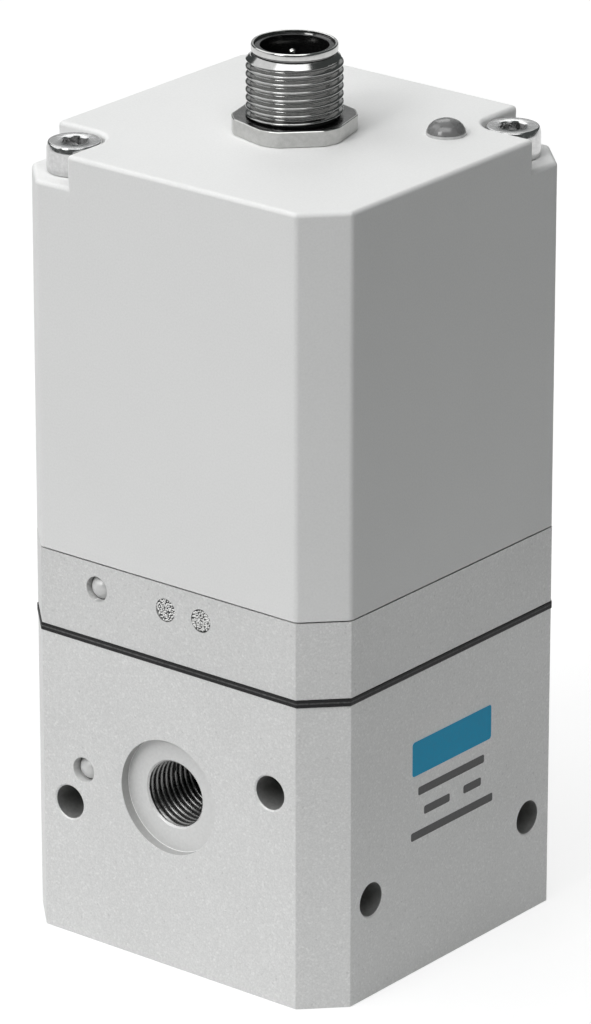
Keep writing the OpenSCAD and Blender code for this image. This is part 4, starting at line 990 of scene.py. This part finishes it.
shell_rows = [
    (SHELL_BORE_R, SHELL_LOW), (5.75, SHELL_LOW), (5.9, SHELL_LOW + 0.15), (5.9, HOOD_TOP),
    (flange_edge(0.12), HOOD_TOP), (flange_edge(0.0), HOOD_TOP + 0.12), (flange_edge(0.0), FLANGE_TOP - 0.07),
    (flange_edge(0.06), FLANGE_TOP - 0.01), (flange_edge(0.2), FLANGE_TOP), (5.3, FLANGE_TOP)]
undercut_rows = [(5.3, FLANGE_TOP), (5.3, THREAD_Z), (5.6, THREAD_Z)]
groove_rows = [(r, THREAD_TOP + z) for r, z in ((5.15, 0.0), (4.97, 0.08), (4.97, 0.24), (5.16, 0.32))]
rim_rows = [(r, THREAD_TOP + z) for r, z in (
    (5.16, 0.32), (5.29, 0.34), (5.35, 0.4), (5.35, 1.04), (5.31, 1.15), (5.23, 1.22), (5.05, 1.22),
    (4.97, 1.18), (4.95, 1.1), (4.95, 0.3), (SHELL_BORE_R, 0.3))] + [(SHELL_BORE_R, SHELL_LOW)]
# The flange's top face takes the dark nickel, which is a painted reflection of the shaded undercut.
shell_low = coated(lathed(shell_rows, 192, False, False), nickel, groove_nickel_painted_shade,
                   choose=lambda p: 1 if p.z > FLANGE_TOP - 0.005 else 0)
undercut = coated(lathed(undercut_rows, 96, False, False), groove_nickel_painted_shade)
groove = coated(lathed(groove_rows, 96, False, False), groove_nickel_painted_shade)
shell_rim = coated(lathed(rim_rows, 96, False, False), nickel)
barrel = grown(screw_thread, {
    "Length": (THREAD_TOP - THREAD_Z) * MM, "Root Radius": 5.38 * MM, "Crest Radius": 6.0 * MM,
    "Pitch": 1.0 * MM, "Sharpness": 1.0, "Mouth Radius": 0.0, "Tip Radius": 5.15 * MM, "Run Out": 0.001 * MM,
    "Steps": 96, "Inside": False, "Finish": thread_nickel_painted_shade},
    place=Matrix.Translation((0, 0, THREAD_Z * MM)) @ Matrix.Rotation(THREAD_START, 4, "Z"))
piece("connector_barrel", [shell_low, undercut, barrel, groove, shell_rim], "housing",
      "nickel_plated_brass", "connector_shell")
insulator = finish("insulator_plastic", 0.003, 0.008, 0.18, 0.0003, 0.000003)


def at_collar(p):
    return p.z > 113.5


insulator_mesh = cad_copy("connector_insert", softened=0.12 * MM, where=at_collar, segments=3)
piece("connector_insulator", [coated(insulator_mesh, insulator)], "housing", "black_plastic",
      "connector_insert")
silver = finish("silver_plate", (0.74, 0.73, 0.70), (0.84, 0.83, 0.80), 0.16, 0.0005, 0.000001, metallic=1.0)
pin_low, pin_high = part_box("connector_pins")
pin_tall = (pin_high.z - pin_low.z) / MM
pin_rows = [(0.3, 0.0), (0.45, 0.1), (0.5, 0.25), (0.5, pin_tall - 0.5), (0.47, pin_tall - 0.3),
            (0.38, pin_tall - 0.12), (0.25, pin_tall - 0.03), (0.1, pin_tall)]
pin_mesh = coated(lathed(pin_rows, 24), silver)
pin_points = [(PIN_CIRCLE_R * cos(radians(a)), PIN_CIRCLE_R * sin(radians(a)), pin_low.z / MM)
              for a in (45, 135, 225, 315)]
piece("connector_contacts", [repeated(pin_mesh, pin_points)], "housing", "silver_plated_brass",
      "connector_pins")
dress(nickel, "connector_nut")


# Status lamp
# A clear grey epoxy lens, cast as one with its collar, snapped into the hood from inside. The collar is
# painted paler where the lens meets the hood: painted light for the pale hood seen through the clear epoxy.

lens = finish("smoked_lens", 0.15, 0.19, 0.28, 0.0008, 0.000001, gloss_spread=0.02)
surface_of(lens)["Coat Weight"].default_value = 0.4
collar_painted_light = finish("lens_collar", 0.48, 0.62, 0.16, 0.0008, 0.000001, gloss_spread=0.03)
LAMP = (15.4, 10.3)
LAMP_LOW = 99.2
lamp_rows = [(2.4, LAMP_LOW), (2.9, 99.3), (2.9, 100.15), (2.5, 100.2), (2.5, 103.25), (2.485, 103.4),
             (2.46, 103.55)]
dome_rows = [(2.46, 103.55), (2.42, 103.7), (2.28, 104.02), (2.08, 104.33), (1.8, 104.6),
             (1.45, 104.83), (1.05, 105.0), (0.62, 105.1), (0.2, 105.147)]
lead_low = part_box("status_lamp")[0].z / MM
lead_tall = LAMP_LOW - lead_low
lead_rows = ((0.15, 0.0), (0.25, 0.1), (0.25, lead_tall - 0.1), (0.3, lead_tall + 0.1))
lead_mesh = coated(lathed(lead_rows, 16), zinc)
lamp_place = Matrix.Translation((LAMP[0] * MM, LAMP[1] * MM, 0))
lamp_meshes = [coated(lathed(lamp_rows, 48, True, False), collar_painted_light),
               coated(lathed(dome_rows, 48, False, True), lens)]
for mesh in lamp_meshes:
    mesh.transform(lamp_place)
lead_points = [(LAMP[0] + s * 1.27, LAMP[1], lead_low) for s in (-1, 1)]
piece("lamp_lens", lamp_meshes + [repeated(lead_mesh, lead_points)], "housing", "lamp_lens", "status_lamp")


# Printed field
# Pad printing on the right face of the valve body, a few hundredths of a millimetre thick: one blue field
# and rows of plain dark bars.

def printed(outlines, ink):
    """Flat shapes on the right face, given as outlines in millimetres of y and z."""
    shape = bmesh.new()
    for outline in outlines:
        under = [shape.verts.new((HALF * MM - 0.000005, y * MM, z * MM)) for y, z in outline]
        over = [shape.verts.new((HALF * MM + 0.00002, y * MM, z * MM)) for y, z in outline]
        shape.faces.new(over)
        for i in range(len(outline)):
            j = (i + 1) % len(outline)
            shape.faces.new((under[i], under[j], over[j], over[i]))
    bmesh.ops.recalc_face_normals(shape, faces=shape.faces)
    return coated(mesh_of(shape, "print"), ink)


def bar(y0, y1, z0, z1, corner=0.25):
    """A bar with rounded corners."""
    points = []
    for cy, cz, start in ((y1 - corner, z0 + corner, -90), (y1 - corner, z1 - corner, 0),
                          (y0 + corner, z1 - corner, 90), (y0 + corner, z0 + corner, 180)):
        for step in range(5):
            a = radians(start + 22.5 * step)
            points.append((cy + corner * cos(a), cz + corner * sin(a)))
    return points


blue_ink = finish("blue_ink", (0.0, 0.32, 0.56), (0.0, 0.35, 0.60), 0.45, 0.0003, 0.000003)
surface_of(blue_ink)["Specular IOR Level"].default_value = 0.2
dark_ink = finish("dark_ink", (0.035, 0.035, 0.037), (0.06, 0.06, 0.062), 0.5, 0.0003, 0.000003)
piece("printed_blue_field", [printed([bar(-8.0, 8.0, 26.6, 31.2, 0.4)], blue_ink)], "housing", "blue_sleeve")
dark_bars = [bar(-6.8, 6.6, 23.8, 24.9), bar(-5.6, -0.4, 20.9, 22.0), bar(2.4, 6.0, 20.9, 22.0),
             bar(-8.2, 8.4, 18.0, 19.1)]
piece("printed_dark_bars", [printed(dark_bars, dark_ink)], "housing", "black_plastic")


# Studio
# A pale floor, a wide soft box overhead, a small one in front, a larger one at the left, a weak one and a dim
# card behind, and the camera where the photographer stood.

LIT_POINT = Vector((0, 0, 0.055))


def soft_box(name, direction, distance, width, height, level):
    """An area lamp that points at the object and lights a face square to it at the given level."""
    lamp = bpy.data.lights.new(name, "AREA")
    lamp.shape = "RECTANGLE"
    lamp.size = width
    lamp.size_y = height
    lamp.energy = level * pi * distance * distance * pi
    thing = new_object(name, lamp)
    aim = Vector(direction).normalized()
    thing.location = LIT_POINT + aim * distance
    thing.rotation_euler = aim.to_track_quat("Z", "Y").to_euler()


soft_box("overhead_soft_box", (0.2, -0.35, 0.915), 2.0, 2.0, 1.2, 0.55)
soft_box("front_soft_box", (-0.07, -0.82, 0.57), 2.0, 0.7, 0.7, 0.3)
soft_box("left_soft_box", (-0.66, -0.38, 0.64), 2.0, 2.2, 1.9, 0.47)
soft_box("back_soft_box", (-0.55, 0.55, 0.65), 2.0, 0.9, 0.9, 0.11)
soft_box("low_back_card", (-0.58, 0.72, 0.37), 2.0, 1.6, 0.6, 0.034)

world = bpy.data.worlds.new("studio_room")
scene.world = world
world.use_nodes = True
world.node_tree.nodes["Background"].inputs["Color"].default_value = (0.92, 1.0, 0.985, 1.0)
world.node_tree.nodes["Background"].inputs["Strength"].default_value = 0.1

floor_paint = bpy.data.materials.new("pale_floor")
floor_paint.use_nodes = True
paint = floor_paint.node_tree
paint.nodes.clear()
path = add(paint, "ShaderNodeLightPath").outputs
seen = calc(paint, "MAXIMUM", path["Is Camera Ray"],
            calc(paint, "MAXIMUM", path["Is Glossy Ray"], path["Is Transmission Ray"]))
ground = object_place(paint)
speck = add(paint, "ShaderNodeTexNoise", Vector=ground, Scale=60.0)
tint = add(paint, "ShaderNodeMapRange", Value=speck.outputs["Fac"], To_Min=0.29, To_Max=0.31)
reach = add(paint, "ShaderNodeVectorMath", {"operation": "LENGTH"}, Vector=ground)
# Diffuse rays see the floor painted brighter near the object and darker farther off: a painted pool of light.
painted_light_pool = add(paint, "ShaderNodeMapRange", Value=reach.outputs["Value"], From_Min=0.04, From_Max=0.4,
           To_Min=0.62, To_Max=0.1)
dull = add(paint, "ShaderNodeBsdfDiffuse", Color=painted_light_pool.outputs["Result"])
pale = add(paint, "ShaderNodeBsdfDiffuse", Color=tint.outputs["Result"])
lift = add(paint, "ShaderNodeEmission", Strength=0.76)
shown = paint.nodes.new("ShaderNodeAddShader")
paint.links.new(pale.outputs[0], shown.inputs[0])
paint.links.new(lift.outputs[0], shown.inputs[1])
either = paint.nodes.new("ShaderNodeMixShader")
paint.links.new(seen, either.inputs[0])
paint.links.new(dull.outputs[0], either.inputs[1])
paint.links.new(shown.outputs[0], either.inputs[2])
paint.links.new(either.outputs[0], add(paint, "ShaderNodeOutputMaterial").inputs["Surface"])
floor_shape = bmesh.new()
bmesh.ops.create_grid(floor_shape, x_segments=8, y_segments=8, size=6.0)
floor_mesh = mesh_of(floor_shape, "floor")
floor_mesh.materials.append(floor_paint)
floor = new_object("floor", floor_mesh)
floor.location.z = -0.00005
floor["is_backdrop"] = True

AZIMUTH = radians(38.729)
ELEVATION = radians(21.208)
DISTANCE = 0.82032
TARGET = Vector((0, 0, 0.05322))
camera = bpy.data.cameras.new("camera")
camera.sensor_width = 36.0
camera.lens = 231.3
camera.shift_x = 0.0009
camera.clip_start = 0.01
camera.clip_end = 50.0
viewpoint = new_object("camera", camera)
back = Vector((sin(AZIMUTH) * cos(ELEVATION), -cos(AZIMUTH) * cos(ELEVATION), sin(ELEVATION)))
viewpoint.location = TARGET + back * DISTANCE
viewpoint.rotation_euler = back.to_track_quat("Z", "Y").to_euler()
scene.camera = viewpoint
scene.view_settings.view_transform = "Standard"

low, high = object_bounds()
